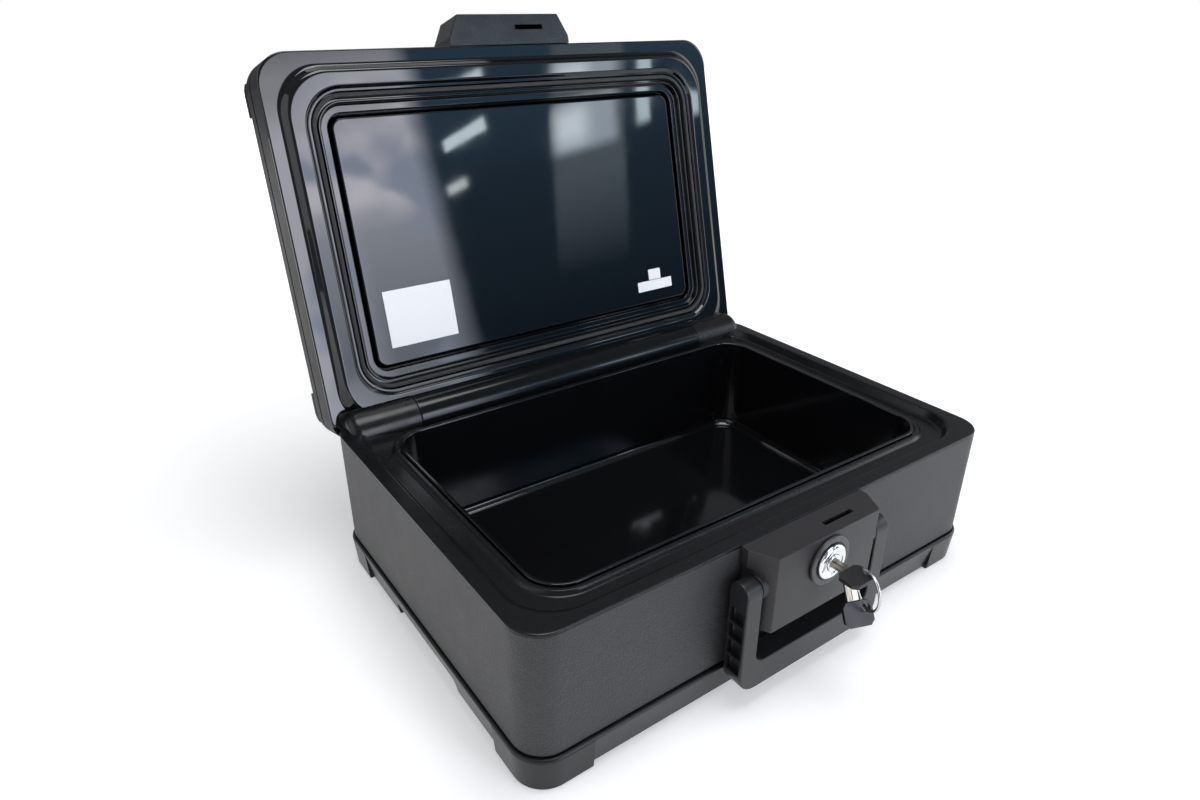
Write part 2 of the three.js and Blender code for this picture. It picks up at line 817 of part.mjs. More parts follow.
const hookBack = -hookFront - hookThickness;
const plugShoulder = -hookFront + gap;
const plugFront = lockFront + plugRise;
const plugBody = turned(
  [[plugStub, hookBack - gap], [plugStub, plugShoulder], [plugRadius, plugShoulder], [plugRadius, plugFront]],
  alongFront,
  lockCentre,
  24,
);
const bladeHalf = bladeWidth / 2;
const bladeBack = plugFront - bladeInside;
const keyway = block(
  -bladeHalf - gap,
  bladeHalf + gap,
  -plugFront - 5,
  -bladeBack + gap,
  lockZ - bladeThickness / 2 - gap,
  lockZ + bladeThickness / 2 + gap,
);
const camScrewHole = rod(smallScrewRadius + gap, hookBack - 5, hookBack + 2, alongFront, lockCentre, 10);
const lockPlug = shaped(plugBody, [], [keyway, camScrewHole]);

const hookOutline = [];
for (let i = 0; i <= 7; i += 1) {
  const angle = THREE.MathUtils.degToRad(hookStart + ((hookEnd - hookStart) * i) / 7);
  hookOutline.push([hookOuterRadius * Math.cos(angle), hookOuterRadius * Math.sin(angle)]);
}
for (let i = 0; i <= 4; i += 1) {
  const angle = THREE.MathUtils.degToRad(hookEnd - (23 * i) / 4);
  hookOutline.push([hookInnerRadius * Math.cos(angle), hookInnerRadius * Math.sin(angle)]);
}
for (let i = 0; i <= 14; i += 1) {
  const angle = THREE.MathUtils.degToRad(hookHubStart + (hookHubSweep * i) / 14);
  hookOutline.push([hookHubRadius * Math.cos(angle), hookHubRadius * Math.sin(angle)]);
}
const hookCam = shaped(
  prism(hookOutline, hookBack, -hookFront, (u, v, w) => [u, -w, v + lockZ]),
  [],
  [rod(plugStub + gap, hookBack - 3, -hookFront + 3, alongFront, lockCentre, 16)],
);

const camScrewSeat = hookBack - 2 * gap;
const camScrew = turned(
  [
    [camScrewHead, camScrewSeat - 2],
    [camScrewHead, camScrewSeat],
    [smallScrewRadius, camScrewSeat],
    [smallScrewRadius, hookBack + 1.5],
  ],
  alongFront,
  lockCentre,
  16,
);

// Keys

const bowBack = plugFront + bladeOutside;
const bowFront = bowBack + bowLength;
const ringAngle = THREE.MathUtils.degToRad(ringTurn);
const ringInner = ringRadius - ringWire;
const strapDrop = ringInner - turningGap - bowThickness / 2;
const strapCentre = [ringOffsetX, -bowFront + strapWidth / 2 + 0.4];

const bowOutline = [
  [-bowWidth / 2, bowBack + bowChamfer],
  [-bowWidth / 2 + bowChamfer, bowBack],
  [bowWidth / 2 - bowChamfer, bowBack],
  [bowWidth / 2, bowBack + bowChamfer],
  [bowWidth / 2, bowFront - bowChamfer],
  [bowWidth / 2 - bowChamfer, bowFront],
  [-bowWidth / 2 + bowChamfer, bowFront],
  [-bowWidth / 2, bowFront - bowChamfer],
].map(([x, d]) => [x, -d]).reverse();

// The slot through the bow that the ring hangs in, turned with the ring.
function bowSlot() {
  const reach = Math.sqrt((ringRadius + ringWire) ** 2 - (strapDrop - bowThickness / 2) ** 2) + 0.4;
  const slot = block(-ringWire - 0.5, ringWire + 0.5, strapWidth / 2, reach, -bowThickness, bowThickness);
  slot.rotateZ(-ringAngle);
  slot.translate(strapCentre[0], strapCentre[1], lockZ);
  return slot;
}

const keyBow = shaped(
  prism(bowOutline, lockZ - bowThickness / 2, lockZ + bowThickness / 2, alongZ),
  [],
  [bowSlot()],
);
const keyBlade = block(
  -bladeHalf,
  bladeHalf,
  -bowBack + gap,
  -bladeBack,
  lockZ - bladeThickness / 2,
  lockZ + bladeThickness / 2,
);

const ringCentre = [strapCentre[0], strapCentre[1], lockZ - strapDrop];
const ringGeometry = new THREE.TorusGeometry(ringRadius, ringWire, 6, 24);
ringGeometry.rotateY(Math.PI / 2);
ringGeometry.rotateZ(-ringAngle);
ringGeometry.translate(...ringCentre);

// The spare key is turned up on the ring, its blade leaning back under the first key's bow.
const spareLean = THREE.MathUtils.degToRad(35);
const spareHole = [ringCentre[0], ringCentre[1], ringCentre[2] - ringRadius];
const spareHoleRadius = 3;
const spareHoleInset = [4.5, 5];
function placeSpare(geometry) {
  geometry.translate(-(bowWidth / 2 - spareHoleInset[0]), spareHoleInset[1], 0);
  geometry.rotateX(Math.PI / 2 - spareLean);
  geometry.rotateZ(-ringAngle);
  geometry.translate(...spareHole);
  return geometry;
}
const spareOutline = [
  [-bowWidth / 2 + bowChamfer, -bowLength],
  [bowWidth / 2 - bowChamfer, -bowLength],
  [bowWidth / 2, -bowLength + bowChamfer],
  [bowWidth / 2, -bowChamfer],
  [bowWidth / 2 - bowChamfer, 0],
  [-bowWidth / 2 + bowChamfer, 0],
  [-bowWidth / 2, -bowChamfer],
  [-bowWidth / 2, -bowLength + bowChamfer],
];
const spareBow = shaped(
  prism(spareOutline, -bowThickness / 2, bowThickness / 2, alongZ),
  [],
  [
    rod(spareHoleRadius, -5, 5, alongZ, [bowWidth / 2 - spareHoleInset[0], -spareHoleInset[1], 0], 16),
  ],
);
const spareKeyBow = placeSpare(spareBow);
const spareKeyBlade = placeSpare(
  block(-bladeHalf - 2, bladeHalf - 2, gap, bladeInside + 4, -bladeThickness / 2, bladeThickness / 2),
);

// Handle

function handleFront() {
  const out = handleHalfWidth;
  const outline = [];
  const top = pivotZ + handleDepth;
  const arc = (cx, cz, r, start, sweep) => {
    for (let i = 0; i <= 5; i += 1) {
      const angle = THREE.MathUtils.degToRad(start + (sweep * i) / 5);
      outline.push([cx + r * Math.cos(angle), cz + r * Math.sin(angle)]);
    }
  };
  const barTop = handleBarBottom + handleBarHeight;
  outline.push([-out, top]);
  arc(-out + handleCornerRadius, handleBarBottom + handleCornerRadius, handleCornerRadius, 180, 90);
  arc(out - handleCornerRadius, handleBarBottom + handleCornerRadius, handleCornerRadius, 270, 90);
  outline.push([out, top], [armInner, top]);
  arc(armInner - handleInnerRadius, barTop + handleInnerRadius, handleInnerRadius, 0, -90);
  arc(-armInner + handleInnerRadius, barTop + handleInnerRadius, handleInnerRadius, 270, -90);
  outline.push([-armInner, top]);
  return prism(outline, -pivotY - handleDepth, -pivotY + handleDepth, alongFront);
}

function handleSide() {
  const outline = roundedOutline(
    pivotY - handleDepth / 2,
    pivotY + handleDepth / 2,
    handleBarBottom,
    pivotZ + handleDepth / 2,
    3,
    3,
  );
  const r = handleDepth / 2;
  const low = outline.filter(([, z]) => z < pivotZ);
  const split = low.findIndex(([y, z], i) => i > 0 && y < pivotY && low[i - 1][0] > pivotY);
  const right = low.slice(0, split);
  const left = low.slice(split);
  const dome = [];
  for (let i = 0; i <= 10; i += 1) {
    const angle = (Math.PI * i) / 10;
    dome.push([pivotY + r * Math.cos(angle), pivotZ + r * Math.sin(angle)]);
  }
  return prism([...right, ...dome, ...left], -halfWidth, halfWidth, alongX);
}

const handlePockets = [];
for (const side of [-1, 1]) {
  for (let i = 0; i < pocketCount; i += 1) {
    const z0 = handleBarBottom + handleCornerRadius + 1 + i * pocketPitch;
    const floor = side * (handleHalfWidth - pocketDepth);
    const open = side * (handleHalfWidth + 5);
    const x = [floor, open].sort((a, b) => a - b);
    const y = handleDepth / 2 - pocketMargin;
    handlePockets.push(block(...x, pivotY - y, pivotY + y, z0, z0 + pocketPitch - pocketRib));
  }
}
const pivotPinEnd = armInner + pivotPinInArm;
let handleSolid = solidOf(handleFront()).intersect(solidOf(handleSide()));
for (const pocket of handlePockets) {
  handleSolid = handleSolid.subtract(solidOf(pocket));
}
handleSolid = handleSolid.subtract(
  solidOf(rod(pivotPinRadius + gap, -pivotPinEnd - 0.5, pivotPinEnd + 0.5, alongX, pivotCentre, 16)),
);
const handle = geometryOf(handleSolid);
const pivotPin = (side) =>
  rod(pivotPinRadius, pivotPinInner, pivotPinEnd, alongSide(side), pivotCentre, 16);

// Lid, built closed

const lidInner = lidThickness;
const grooveBottom = lidPlane + grooveHeight - grooveWidth / 2;
const grooveTop = lidPlane + grooveHeight + grooveWidth / 2;
const bump = grooveDepth + lidThickness;
const fillingInset = bump + gap;
const edgeStart = lidTop - lidEdgeRounding;
const lidWall = (inset, z) => wallLoop(inset, z, lidCornerRadius - inset);
const lidShellLoops = [
  lidWall(lidEdgeRounding, lidTop - lidTopThickness),
  lidWall(lidInner, edgeStart - 1),
  lidWall(lidInner, grooveTop + lidThickness),
  lidWall(bump, grooveTop),
  lidWall(bump, grooveBottom),
  lidWall(lidInner, grooveBottom - lidThickness),
  lidWall(lidInner, lidPlane + lidLip + gap),
  lidWall(0, lidPlane + lidLip + gap),
  lidWall(0, grooveBottom),
  lidWall(grooveDepth, grooveBottom + 0.2),
  lidWall(grooveDepth, grooveTop - 0.2),
  lidWall(0, grooveTop),
  lidWall(0, edgeStart),
  lidWall(lidEdgeRounding * 0.13, lidTop - lidEdgeRounding * 0.5),
  lidWall(lidEdgeRounding * 0.5, lidTop - lidEdgeRounding * 0.13),
  lidWall(lidEdgeRounding, lidTop),
];

// Clearance cuts round the hinge that every lid piece shares.
function lidHingeCuts() {
  const seam = drumHalfLength + drumSeam / 2;
  const corner = knuckleEnd + turningGap;
  return [
    hingeRod(drumRadius + gap, -seam, seam),
    ...bothSides((side) =>
      rod(drumRadius + turningGap, seam - 0.01, corner, alongSide(side), hingeCentre, 32),
    ),
    ...bothSides((side) =>
      rod(hingeFromRear, corner - 0.01, halfWidth + 5, alongSide(side), hingeCentre, 24),
    ),
  ];
}

const pads = joined(
  [-1, 1].flatMap((sx) =>
    [-1, 1].map((sy) => {
      const x0 = sx > 0 ? halfWidth - padEnd : -halfWidth - 1;
      const y0 = sy > 0 ? halfDepth - padEnd : -halfDepth + padStart;
      return block(x0, x0 + padEnd + 1, y0, y0 + padEnd - padStart, lidTop - 2, lidTop + padRise);
    }),
  ),
).intersect(
  solidOf(
    loft([
      lidWall(padInset, lidTop - lidEdgeRounding - 3),
      lidWall(padInset, lidTop + padRise - 1),
      lidWall(padInset + 1.4, lidTop + padRise),
    ]),
  ),
);

const tabScrewPlaces = [];
for (const x of [-frontScrewX, frontScrewX]) {
  for (const z of [lidPlane + tabScrewLow, lidPlane + tabScrewHigh]) {
    tabScrewPlaces.push([x, z]);
  }
}

let lidShellSolid = solidOf(loft(lidShellLoops)).add(pads);
for (const cut of [
  ...lidHingeCuts(),
  ...tabScrewPlaces.map(([x, z]) => screwHole(alongFront, [x, 0, z], halfDepth - 4, halfDepth + 1)),
]) {
  lidShellSolid = lidShellSolid.subtract(solidOf(cut));
}
const lidShell = geometryOf(lidShellSolid);

const slopeEdge = gasketOutset + 0.6;
const plateauInner = cavityWidth / 2 - halfWidth + flangeWidth + lidStepRun + lidPlateauWidth;
const lidLinerLoops = [
  cavityLoop(-panelEdge, lidPlane + panelRise),
  cavityLoop(-panelEdge, lidPlane + moatRise),
  cavityLoop(-bandEnd - 0.2, lidPlane + moatRise),
  cavityLoop(-bandEnd, lidPlane + bandRise),
  cavityLoop(-bandStart, lidPlane),
  cavityLoop(-gasketInset, lidPlane),
  cavityLoop(-gasketInset, lidPlane + gasketDepth),
  cavityLoop(gasketOutset, lidPlane + gasketDepth),
  cavityLoop(gasketOutset, lidPlane - lidSlopeDrop),
  cavityLoop(slopeEdge, lidPlane - lidSlopeDrop),
  cavityLoop(-plateauInner, lidPlane - lidPlateauDrop + 0.3, flangeInnerRadius - 3),
  wallLoop(flangeWidth + gap + lidStepRun, lidPlane - lidPlateauDrop, flangeInnerRadius - 2),
  wallLoop(flangeWidth + gap, lidPlane, flangeInnerRadius),
  lidWall(0.8, lidPlane),
  lidWall(0, lidPlane + 0.8),
  lidWall(0, lidPlane + lidLip),
  wallLoop(flangeWidth + gap - lidLinerThickness * 0.3, lidPlane + lidLip, flangeInnerRadius),
  wallLoop(
    flangeWidth + gap + lidStepRun + 1.2,
    lidPlane - lidPlateauDrop + lidLinerThickness,
    flangeInnerRadius - 2,
  ),
  cavityLoop(-plateauInner, lidPlane - lidPlateauDrop + lidLinerThickness + 0.3, flangeInnerRadius - 3),
  cavityLoop(gasketOutset + lidLinerThickness, lidPlane - lidSlopeDrop + lidLinerThickness),
  cavityLoop(gasketOutset + lidLinerThickness, lidPlane + gasketDepth + lidLinerThickness),
  cavityLoop(-gasketInset - lidLinerThickness, lidPlane + gasketDepth + lidLinerThickness),
  cavityLoop(-bandEnd + lidLinerThickness, lidPlane + bandRise + lidLinerThickness),
  cavityLoop(-bandEnd + lidLinerThickness, lidPlane + moatRise + lidLinerThickness),
];
const lidLiner = shaped(loft(lidLinerLoops), [], lidHingeCuts());

const fillingFloor = lidPlane + moatRise + lidLinerThickness + gap;
const fillingBand = -bandEnd + lidLinerThickness + gap;
const lidFillingLoops = [
  cavityLoop(fillingBand, fillingFloor),
  cavityLoop(fillingBand, lidPlane + bandRise + lidLinerThickness + gap),
  cavityLoop(-gasketInset - lidLinerThickness + gap, lidPlane + gasketDepth + lidLinerThickness + gap),
  cavityLoop(gasketOutset + lidLinerThickness + gap, lidPlane + gasketDepth + lidLinerThickness + gap),
  cavityLoop(gasketOutset + lidLinerThickness + gap, lidPlane + lidLip + gap),
  lidWall(fillingInset, lidPlane + lidLip + gap),
  lidWall(fillingInset, edgeStart),
  lidWall(lidEdgeRounding + gap, lidTop - lidTopThickness - gap),
];

const hingeScrewPlaces = [-1, -1 / 3, 1 / 3, 1].map((step) => step * (drumHalfLength - hingeScrewFromEnd));
const hingeScrewZ = hingeZ + hingeScrewHeight;
const drumChord = Math.sqrt(drumRadius ** 2 - hingeScrewHeight ** 2);
const hingeScrewSeat = hingeY + drumChord - hingeScrewSink;
const hingeScrewLength = drumChord - hingeScrewSink + drumRadius + hingeScrewBite;
const lidFilling = shaped(loft(lidFillingLoops), [], [
  ...lidHingeCuts(),
  ...hingeScrewPlaces.map((x) =>
    screwHole(alongFront, [x, hingeScrewSeat, hingeScrewZ], 0, hingeScrewLength),
  ),
]);

const gasketOuter = gasketOffset;
const gasketInnerSide = gasketOffset - gasketWidth;
const gasketTip = linerLipTop + gap;
const gasket = loft(
  [
    cavityLoop(gasketInnerSide, gasketTip + 0.9),
    cavityLoop(gasketInnerSide + 0.9, gasketTip),
    cavityLoop(gasketOuter - 0.9, gasketTip),
    cavityLoop(gasketOuter, gasketTip + 0.9),
    cavityLoop(gasketOuter, lidPlane + gasketDepth - gap),
    cavityLoop(gasketInnerSide, lidPlane + gasketDepth - gap),
  ],
  true,
);

const drumProfile = [
  [drumRadius - 1.2, -drumHalfLength],
  [drumRadius, -drumHalfLength + 1.2],
  [drumRadius, drumHalfLength - 1.2],
  [drumRadius - 1.2, drumHalfLength],
];
const hingeBarrel = shaped(turned(drumProfile, alongX, hingeCentre, 32), [], [
  ...hingeScrewPlaces.map((x) =>
    screwHole(alongFront, [x, hingeScrewSeat, hingeScrewZ], -1, hingeScrewLength),
  ),
  ...hingeScrewPlaces.map((x) =>
    rod(screwHeadRadius + gap, -12, 0, alongFront, [x, hingeScrewSeat, hingeScrewZ], screwSides),
  ),
  ...bothSides((side) =>
    rod(
      hingePinRadius + gap,
      drumHalfLength - hingePinReach - gap,
      drumHalfLength + 5,
      alongSide(side),
      hingeCentre,
      16,
    ),
  ),
]);
const hingeScrews = hingeScrewPlaces.map((x) =>
  screw(alongFront, [x, hingeScrewSeat + gap, hingeScrewZ], hingeScrewLength),
);
const pinInner = drumHalfLength - hingePinReach;
const pinOuter = drumHalfLength + hingePinReach;
const hingePin = (side) =>
  hingeRod(hingePinRadius, side > 0 ? pinInner : -pinOuter, side > 0 ? pinOuter : -pinInner, 16);

// Lid tab

const tabTop = lidPlane + tabHeight;
let tabSolid = solidOf(housingBlock(lidPlane, tabTop, 0, housingTaper));
tabSolid = tabSolid.subtract(solidOf(housingHollow(lidPlane + tabFloorThickness, tabTop - housingWall)));
for (const post of screwPosts(tabScrewPlaces)) {
  tabSolid = tabSolid.add(solidOf(post));
}
const strikeBottom = lidPlane + tabFloorThickness + gap;
const strikeTop = strikeBottom + strikeThickness;
const strikeScrewPlaces = [
  [strikeScrewX, -halfDepth - hookPlane + 5],
  [strikeScrewX, -halfDepth - hookPlane - 3],
];
const strikeHole = smallScrewRadius + gap;
const strikeScrewEnd = lidPlane + 0.4;
const strikeRight = slotLeft - gap;
for (const cut of [
  block(
    tabSlotLeft,
    slotRight,
    -slotFront - 0.1,
    -slotBack + 0.1,
    lidPlane - 3,
    lidPlane + tabFloorThickness + 1,
  ),
  ...postHoles(tabScrewPlaces),
  ...strikeScrewPlaces.map(([x, y]) =>
    rod(strikeHole, strikeScrewEnd, lidPlane + 5, alongZ, [x, y, 0], screwSides),
  ),
]) {
  tabSolid = tabSolid.subtract(solidOf(cut));
}
const lidTab = geometryOf(tabSolid);
const strikePlate = shaped(
  block(
    strikeLeft,
    strikeRight,
    -halfDepth - housingDepth + housingWall + 2,
    -halfDepth - 4,
    strikeBottom,
    strikeTop,
  ),
  [],
  strikeScrewPlaces.map(([x, y]) =>
    rod(strikeHole, strikeBottom - 3, strikeTop + 3, alongZ, [x, y, 0], screwSides),
  ),
);
const strikeScrews = strikeScrewPlaces.map(([x, y]) =>
  turned(
    [
      [smallScrewRadius, strikeScrewEnd + gap],
      [smallScrewRadius, strikeTop + gap],
      [strikeScrewHead, strikeTop + gap],
      [strikeScrewHead, strikeTop + gap + 1.4],
    ],
    alongZ,
    [x, y, 0],
    screwSides,
  ),
);
const tabScrewSeat = -halfDepth + lidThickness + gap;
const tabScrews = tabScrewPlaces.map(([x, z]) => screw(alongFront, [x, tabScrewSeat, z], screwLength));

// Labels

function label({ side, outer, width, rear, front }) {
  const z = lidPlane + panelRise - gap;
  const outside = side * (cavityWidth / 2 - outer);
  const left = Math.min(outside, outside - side * width);
  const right = left + width;
  return block(left, right, halfDepth - front, halfDepth - rear, z - labelThickness, z);
}

// Scene

const group = new THREE.Group();
const lid = new THREE.Group();
lid.position.set(0, hingeY, hingeZ);
lid.rotation.x = THREE.MathUtils.degToRad(-lidAngle);
const closedLid = new THREE.Group();
closedLid.position.set(0, -hingeY, -hingeZ);
lid.add(closedLid);
group.add(lid);

group.add(
  pieceOf("base_shell", baseShell, "shell"),
  pieceOf("base_insulation", baseInsulation, "filling"),
  pieceOf("base_rim", baseRim, "satin"),
  pieceOf("base_liner", baseLiner, "gloss"),
  pieceOf("base_tray", baseTray, "satin"),
  ...copiesOf("tray_screw", trayScrews, "steel"),
  pieceOf("lock_housing", lockHousing, "housing"),
  ...copiesOf("housing_screw", housingScrews, "steel"),
  pieceOf("lock_bezel", lockBezel, "housing"),
  pieceOf("lock_body", lockBody, "chrome"),
  pieceOf("lock_nut", lockNut, "steel"),
  pieceOf("lock_plug", lockPlug, "chrome"),
  pieceOf("hook_cam", hookCam, "steel"),
  pieceOf("cam_screw", camScrew, "steel"),
  pieceOf("key_blade", keyBlade, "nickel"),
  pieceOf("key_bow", keyBow, "housing"),
  pieceOf("key_ring", ringGeometry, "steel"),
  pieceOf("spare_key_blade", spareKeyBlade, "nickel"),
  pieceOf("spare_key_bow", spareKeyBow, "housing"),
  pieceOf("handle", handle, "housing"),
  pieceOf("handle_pin_left", pivotPin(-1), "steel"),
  pieceOf("handle_pin_right", pivotPin(1), "steel"),
  pieceOf("hinge_pin_left", hingePin(-1), "steel"),
  pieceOf("hinge_pin_right", hingePin(1), "steel"),
);

closedLid.add(
  pieceOf("lid_shell", lidShell, "shell"),
  pieceOf("lid_liner", lidLiner, "gloss"),
  pieceOf("lid_insulation", lidFilling, "filling"),
  pieceOf("lid_gasket", gasket, "rubber"),
  pieceOf("hinge_barrel", hingeBarrel, "satin"),
  ...copiesOf("hinge_screw", hingeScrews, "steel"),
  pieceOf("lid_tab", lidTab, "housing"),
  pieceOf("strike_plate", strikePlate, "steel"),
  ...copiesOf("strike_screw", strikeScrews, "steel"),
  ...copiesOf("tab_screw", tabScrews, "steel"),
  pieceOf("label_large", label(labelPlaces.large), "label"),
  pieceOf("label_square", label(labelPlaces.square), "label"),
  pieceOf("label_strip", label(labelPlaces.strip), "label"),
);

export default group;
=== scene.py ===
"""Fireproof chest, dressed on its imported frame: moulded shells, lock, keys and bail handle.

Shapes are worked out in millimetres and written to the meshes in metres. The lid's pieces are
shaped closed and then turned open about the hinge line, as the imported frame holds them.
"""
import math

import bmesh
import bpy
import numpy as np
from mathutils import Matrix


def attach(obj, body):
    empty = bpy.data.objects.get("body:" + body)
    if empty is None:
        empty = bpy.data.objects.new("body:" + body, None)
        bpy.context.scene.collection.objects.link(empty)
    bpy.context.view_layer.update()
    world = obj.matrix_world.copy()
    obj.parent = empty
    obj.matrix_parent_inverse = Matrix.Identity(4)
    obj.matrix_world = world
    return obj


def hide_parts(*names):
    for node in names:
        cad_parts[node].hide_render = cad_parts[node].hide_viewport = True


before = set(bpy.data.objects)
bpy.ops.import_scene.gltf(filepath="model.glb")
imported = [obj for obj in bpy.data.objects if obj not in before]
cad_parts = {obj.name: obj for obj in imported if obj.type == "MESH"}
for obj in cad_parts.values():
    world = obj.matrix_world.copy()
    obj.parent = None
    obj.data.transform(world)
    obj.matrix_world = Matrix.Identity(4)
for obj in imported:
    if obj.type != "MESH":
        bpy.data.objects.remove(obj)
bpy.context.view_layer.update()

# Outline of the closed chest.
HALF_X, HALF_Y = 215.0, 150.6
BASE_CORNER, LID_CORNER = 22.7, 24.0
SEAM, LID_PLANE = 116.8, 117.1
GAP = 0.3

# Rim and tub.
PLATEAU, RIM_UNDERSIDE, FLANGE_UNDERSIDE = 109.8, 106.8, 113.6
MOUTH_X, MOUTH_Y, MOUTH_SHIFT, MOUTH_RADIUS = 182.8, 115.65, -3.2, 25.8
TUB_FLOOR = 26.0
BEAD_TOP, LINER_TOP = 112.6, 113.9

# Walls and tray.
SHELL_TOP, SHELL_STEP, SHELL_WALL = 114.5, 24.3, 2.5
LEDGE, SKIRT_FOOT, FOOT_BOTTOM = 22.5, -2.3, -4.0
SKIRT_INSET = -1.7
SCREW_SINK = 1.5
LIFT_HALF_LENGTH, LIFT_HEIGHT, LIFT_DEPTH = 49.0, 10.5, 26.0
FOOT_LENGTH, FOOT_LENGTH_Y = 45.0, 45.6

# Screws, from the middle of the chest, and the holes for their shanks and heads.
SCREW_HOLE, SCREW_HEAD_HOLE, SCREW_HEAD, SCREW_SHANK = 2.0, 3.9, 3.6, 1.7
FRONT_SCREW_X, TRAY_SCREW_X, TRAY_SCREW_Y = 42.0, 150.0, 108.0

# Hinge line.
HINGE = np.array([0.0, 140.0, 110.4])
LID_OPEN = math.radians(103.6)
DRUM_RADIUS, DRUM_HALF = 18.0, 149.75
DRUM_SEAM, TROUGH_GAP, LINING = 0.8, 1.3, 2.2
KNUCKLE_END, PIN_RADIUS, PIN_REACH = 207.6, 4.0, 12.0
REAR_CLEARANCE = 10.6

# Lid, its groove and corner pads, and the levels of its inner skin from the closed lid's foot.
LID_TOP = 161.1
PAD_LENGTH, PAD_RISE, PAD_EDGE = 40.0, 4.0, 1.6
GROOVE_LOW, GROOVE_HIGH, GROOVE_DEPTH = 141.2, 143.0, 2.2
PANEL, MOAT, BAND, CHANNEL = 122.7, 129.1, 122.1, 120.1

# Lock housing and lid tab.
HOUSING_BACK, HOUSING_TOP, HOUSING_BOTTOM = -150.9, 116.0, 56.5
TAB_TOP = 151.1
LOCK = np.array([0.0, 0.0, 95.5])
BEZEL_BACK, BEZEL_DEPTH, BEZEL_RADIUS = HALF_Y + 24.7, 2.0, 18.0
BARREL_BACK, BARREL_RADIUS, BARREL_HOLE, FLANGE_RADIUS = 163.9, 9.5, 9.8, 12.75
PLUG_RADIUS, PLUG_ROOM = 6.0, 6.3

# Handle, its pockets and the bosses that it turns on.
PIVOT_Y, PIVOT_Z = -163.0, 90.5
PIVOT = (0, PIVOT_Y, PIVOT_Z)
HANDLE_OUT, HANDLE_IN, HANDLE_HALF_DEPTH = 68.7, 55.6, 8.25
BAR_BOTTOM, BAR_TOP = 12.0, 33.0
POCKET_FIRST, POCKET_STEP, POCKET_HEIGHT, POCKET_DEPTH, POCKET_HALF = 15.0, 13.4, 11.4, 4.0, 5.85
BOSS_RADIUS, BOSS_END, PIN_HOLE = 8.4, 55.2, 3.3
ARM_ROOM, ARM_ROOM_TOP = 55.1, 102.75

# Keys.
BOW_BACK, BOW_FRONT = 189.3, 205.8
BOW_HALF_WIDTH, BOW_HALF_THICKNESS, BLADE_HALF_THICKNESS = 10.5, 1.5, 1.1
WIRE_RADIUS, WIRE_RING_RADIUS = 1.08, 13.0
RING_CENTRE = np.array([6.0, -203.6, 85.9])
SPARE_HOLE = np.array([6.0, -203.6, 72.9])
RING_TURN, SPARE_LEAN = math.radians(20.0), math.radians(35.0)

# Studio: light levels, where 1 is white, and the curved cloth wall out of the camera's sight.
FILL = 0.8
FLOOR_HALF, FLOOR_COLOUR = 4000.0, (0.85, 0.85, 0.85, 1)
FLOOR_LIFT, LIFT_DISTANCES = (0.35, 1.0), (0.5, 1.6)
WALL_RADIUS, WALL_TOP = 2600.0, 2100.0
WALL_TURNS = (-268.0, 52.0)
PANEL_LEFT = 7.0
LEFT_CLOTH = (0.3, 0.32, 0.36)
REAR_CLOTH = (0.24, 0.245, 0.26)
# What the gloss sees at the front: a pale side with soft clouds and a dark blue side, low to high.
PALE_LOW, PALE_HIGH, PALE_HEIGHTS = (2.6, 2.9, 3.5), (5.2, 5.5, 6.4), (0.35, 0.9)
CLOUD_DARK, CLOUD_LIGHT, CLOUD_SIZE = (6.0, 6.3, 7.4), (10.4, 10.1, 11.0), 0.4
HAZE, HAZE_TURNS = (7.8, 7.9, 8.8), (12, 17)
SHADE, SHADE_SIZE = (4.4, 5.0, 6.4), 0.3
TOP_GREY, TOP_HEIGHTS = (4.8, 4.9, 5.4), (1.25, 1.42)
BLUE_LOW, BLUE_MIDDLE, BLUE_HIGH = (0.07, 0.12, 0.18), (0.2, 0.36, 0.55), (0.36, 0.7, 1.1)
BLUE_TURNS = (23.2, 25.2)
# Each lit slit: its colour, turns, heights, softness at the sides and ends, climb and lean.
SLITS = [((1.3, 1.6, 1.9), (31.2, 37.6), (0.85, 1.3), 0.4, 0.4, 0.0, 5.0),
         ((5.5, 6.5, 7.5), (31.6, 36.6), (0.97, 1.12), 0.9, 0.05, 0.0, 5.0),
         ((11.0, 12.3, 13.5), (32.0, 33.6), (1.02, 1.08), 1.4, 0.08, 0.0, 5.0),
         ((8.0, 9.8, 10.6), (39.1, 40.1), (0.99, 1.13), 0.2, 0.03, 0.0, 5.0),
         ((11.0, 13.0, 14.0), (26.3, 30.2), (1.08, 1.12), 0.3, 0.012, 0.0143, 0.0),
         ((11.0, 12.0, 12.5), (25.6, 27.2), (0.905, 0.935), 0.3, 0.01, 0.012, 0.0)]

CORNER_STEPS = 14
BEND_STEPS = 5
SIDE_STEP = 1.5


# Paths and rings

def wall(inset, height, bend=0.0, radius=None, corner=BASE_CORNER):
    """A key of a path round the chest, a given distance in from its outer wall."""
    return (HALF_X - inset, HALF_Y - inset, corner - inset if radius is None else radius, 0.0, height, bend)


def lid_wall(inset, height, bend=0.0):
    """The same for the lid's outer wall, whose corners are a little rounder."""
    return wall(inset, height, bend, corner=LID_CORNER)


def mouth(offset, height, bend=0.0, radius=None):
    """A key of a path round the tub's mouth, a given distance outside it, or inside where negative."""
    round_corner = MOUTH_RADIUS + offset if radius is None else radius
    return (MOUTH_X + offset, MOUTH_Y + offset, round_corner, MOUTH_SHIFT, height, bend)


def arc(start, corner, end, weight, steps):
    """A circular arc with its tangents meeting at corner, as a weighted quadratic curve."""
    t = np.linspace(0.0, 1.0, steps + 1)[:, None]
    low, middle, high = (1 - t) ** 2, 2 * t * (1 - t) * weight, t**2
    return (low * start + middle * corner + high * end) / (low + middle + high)


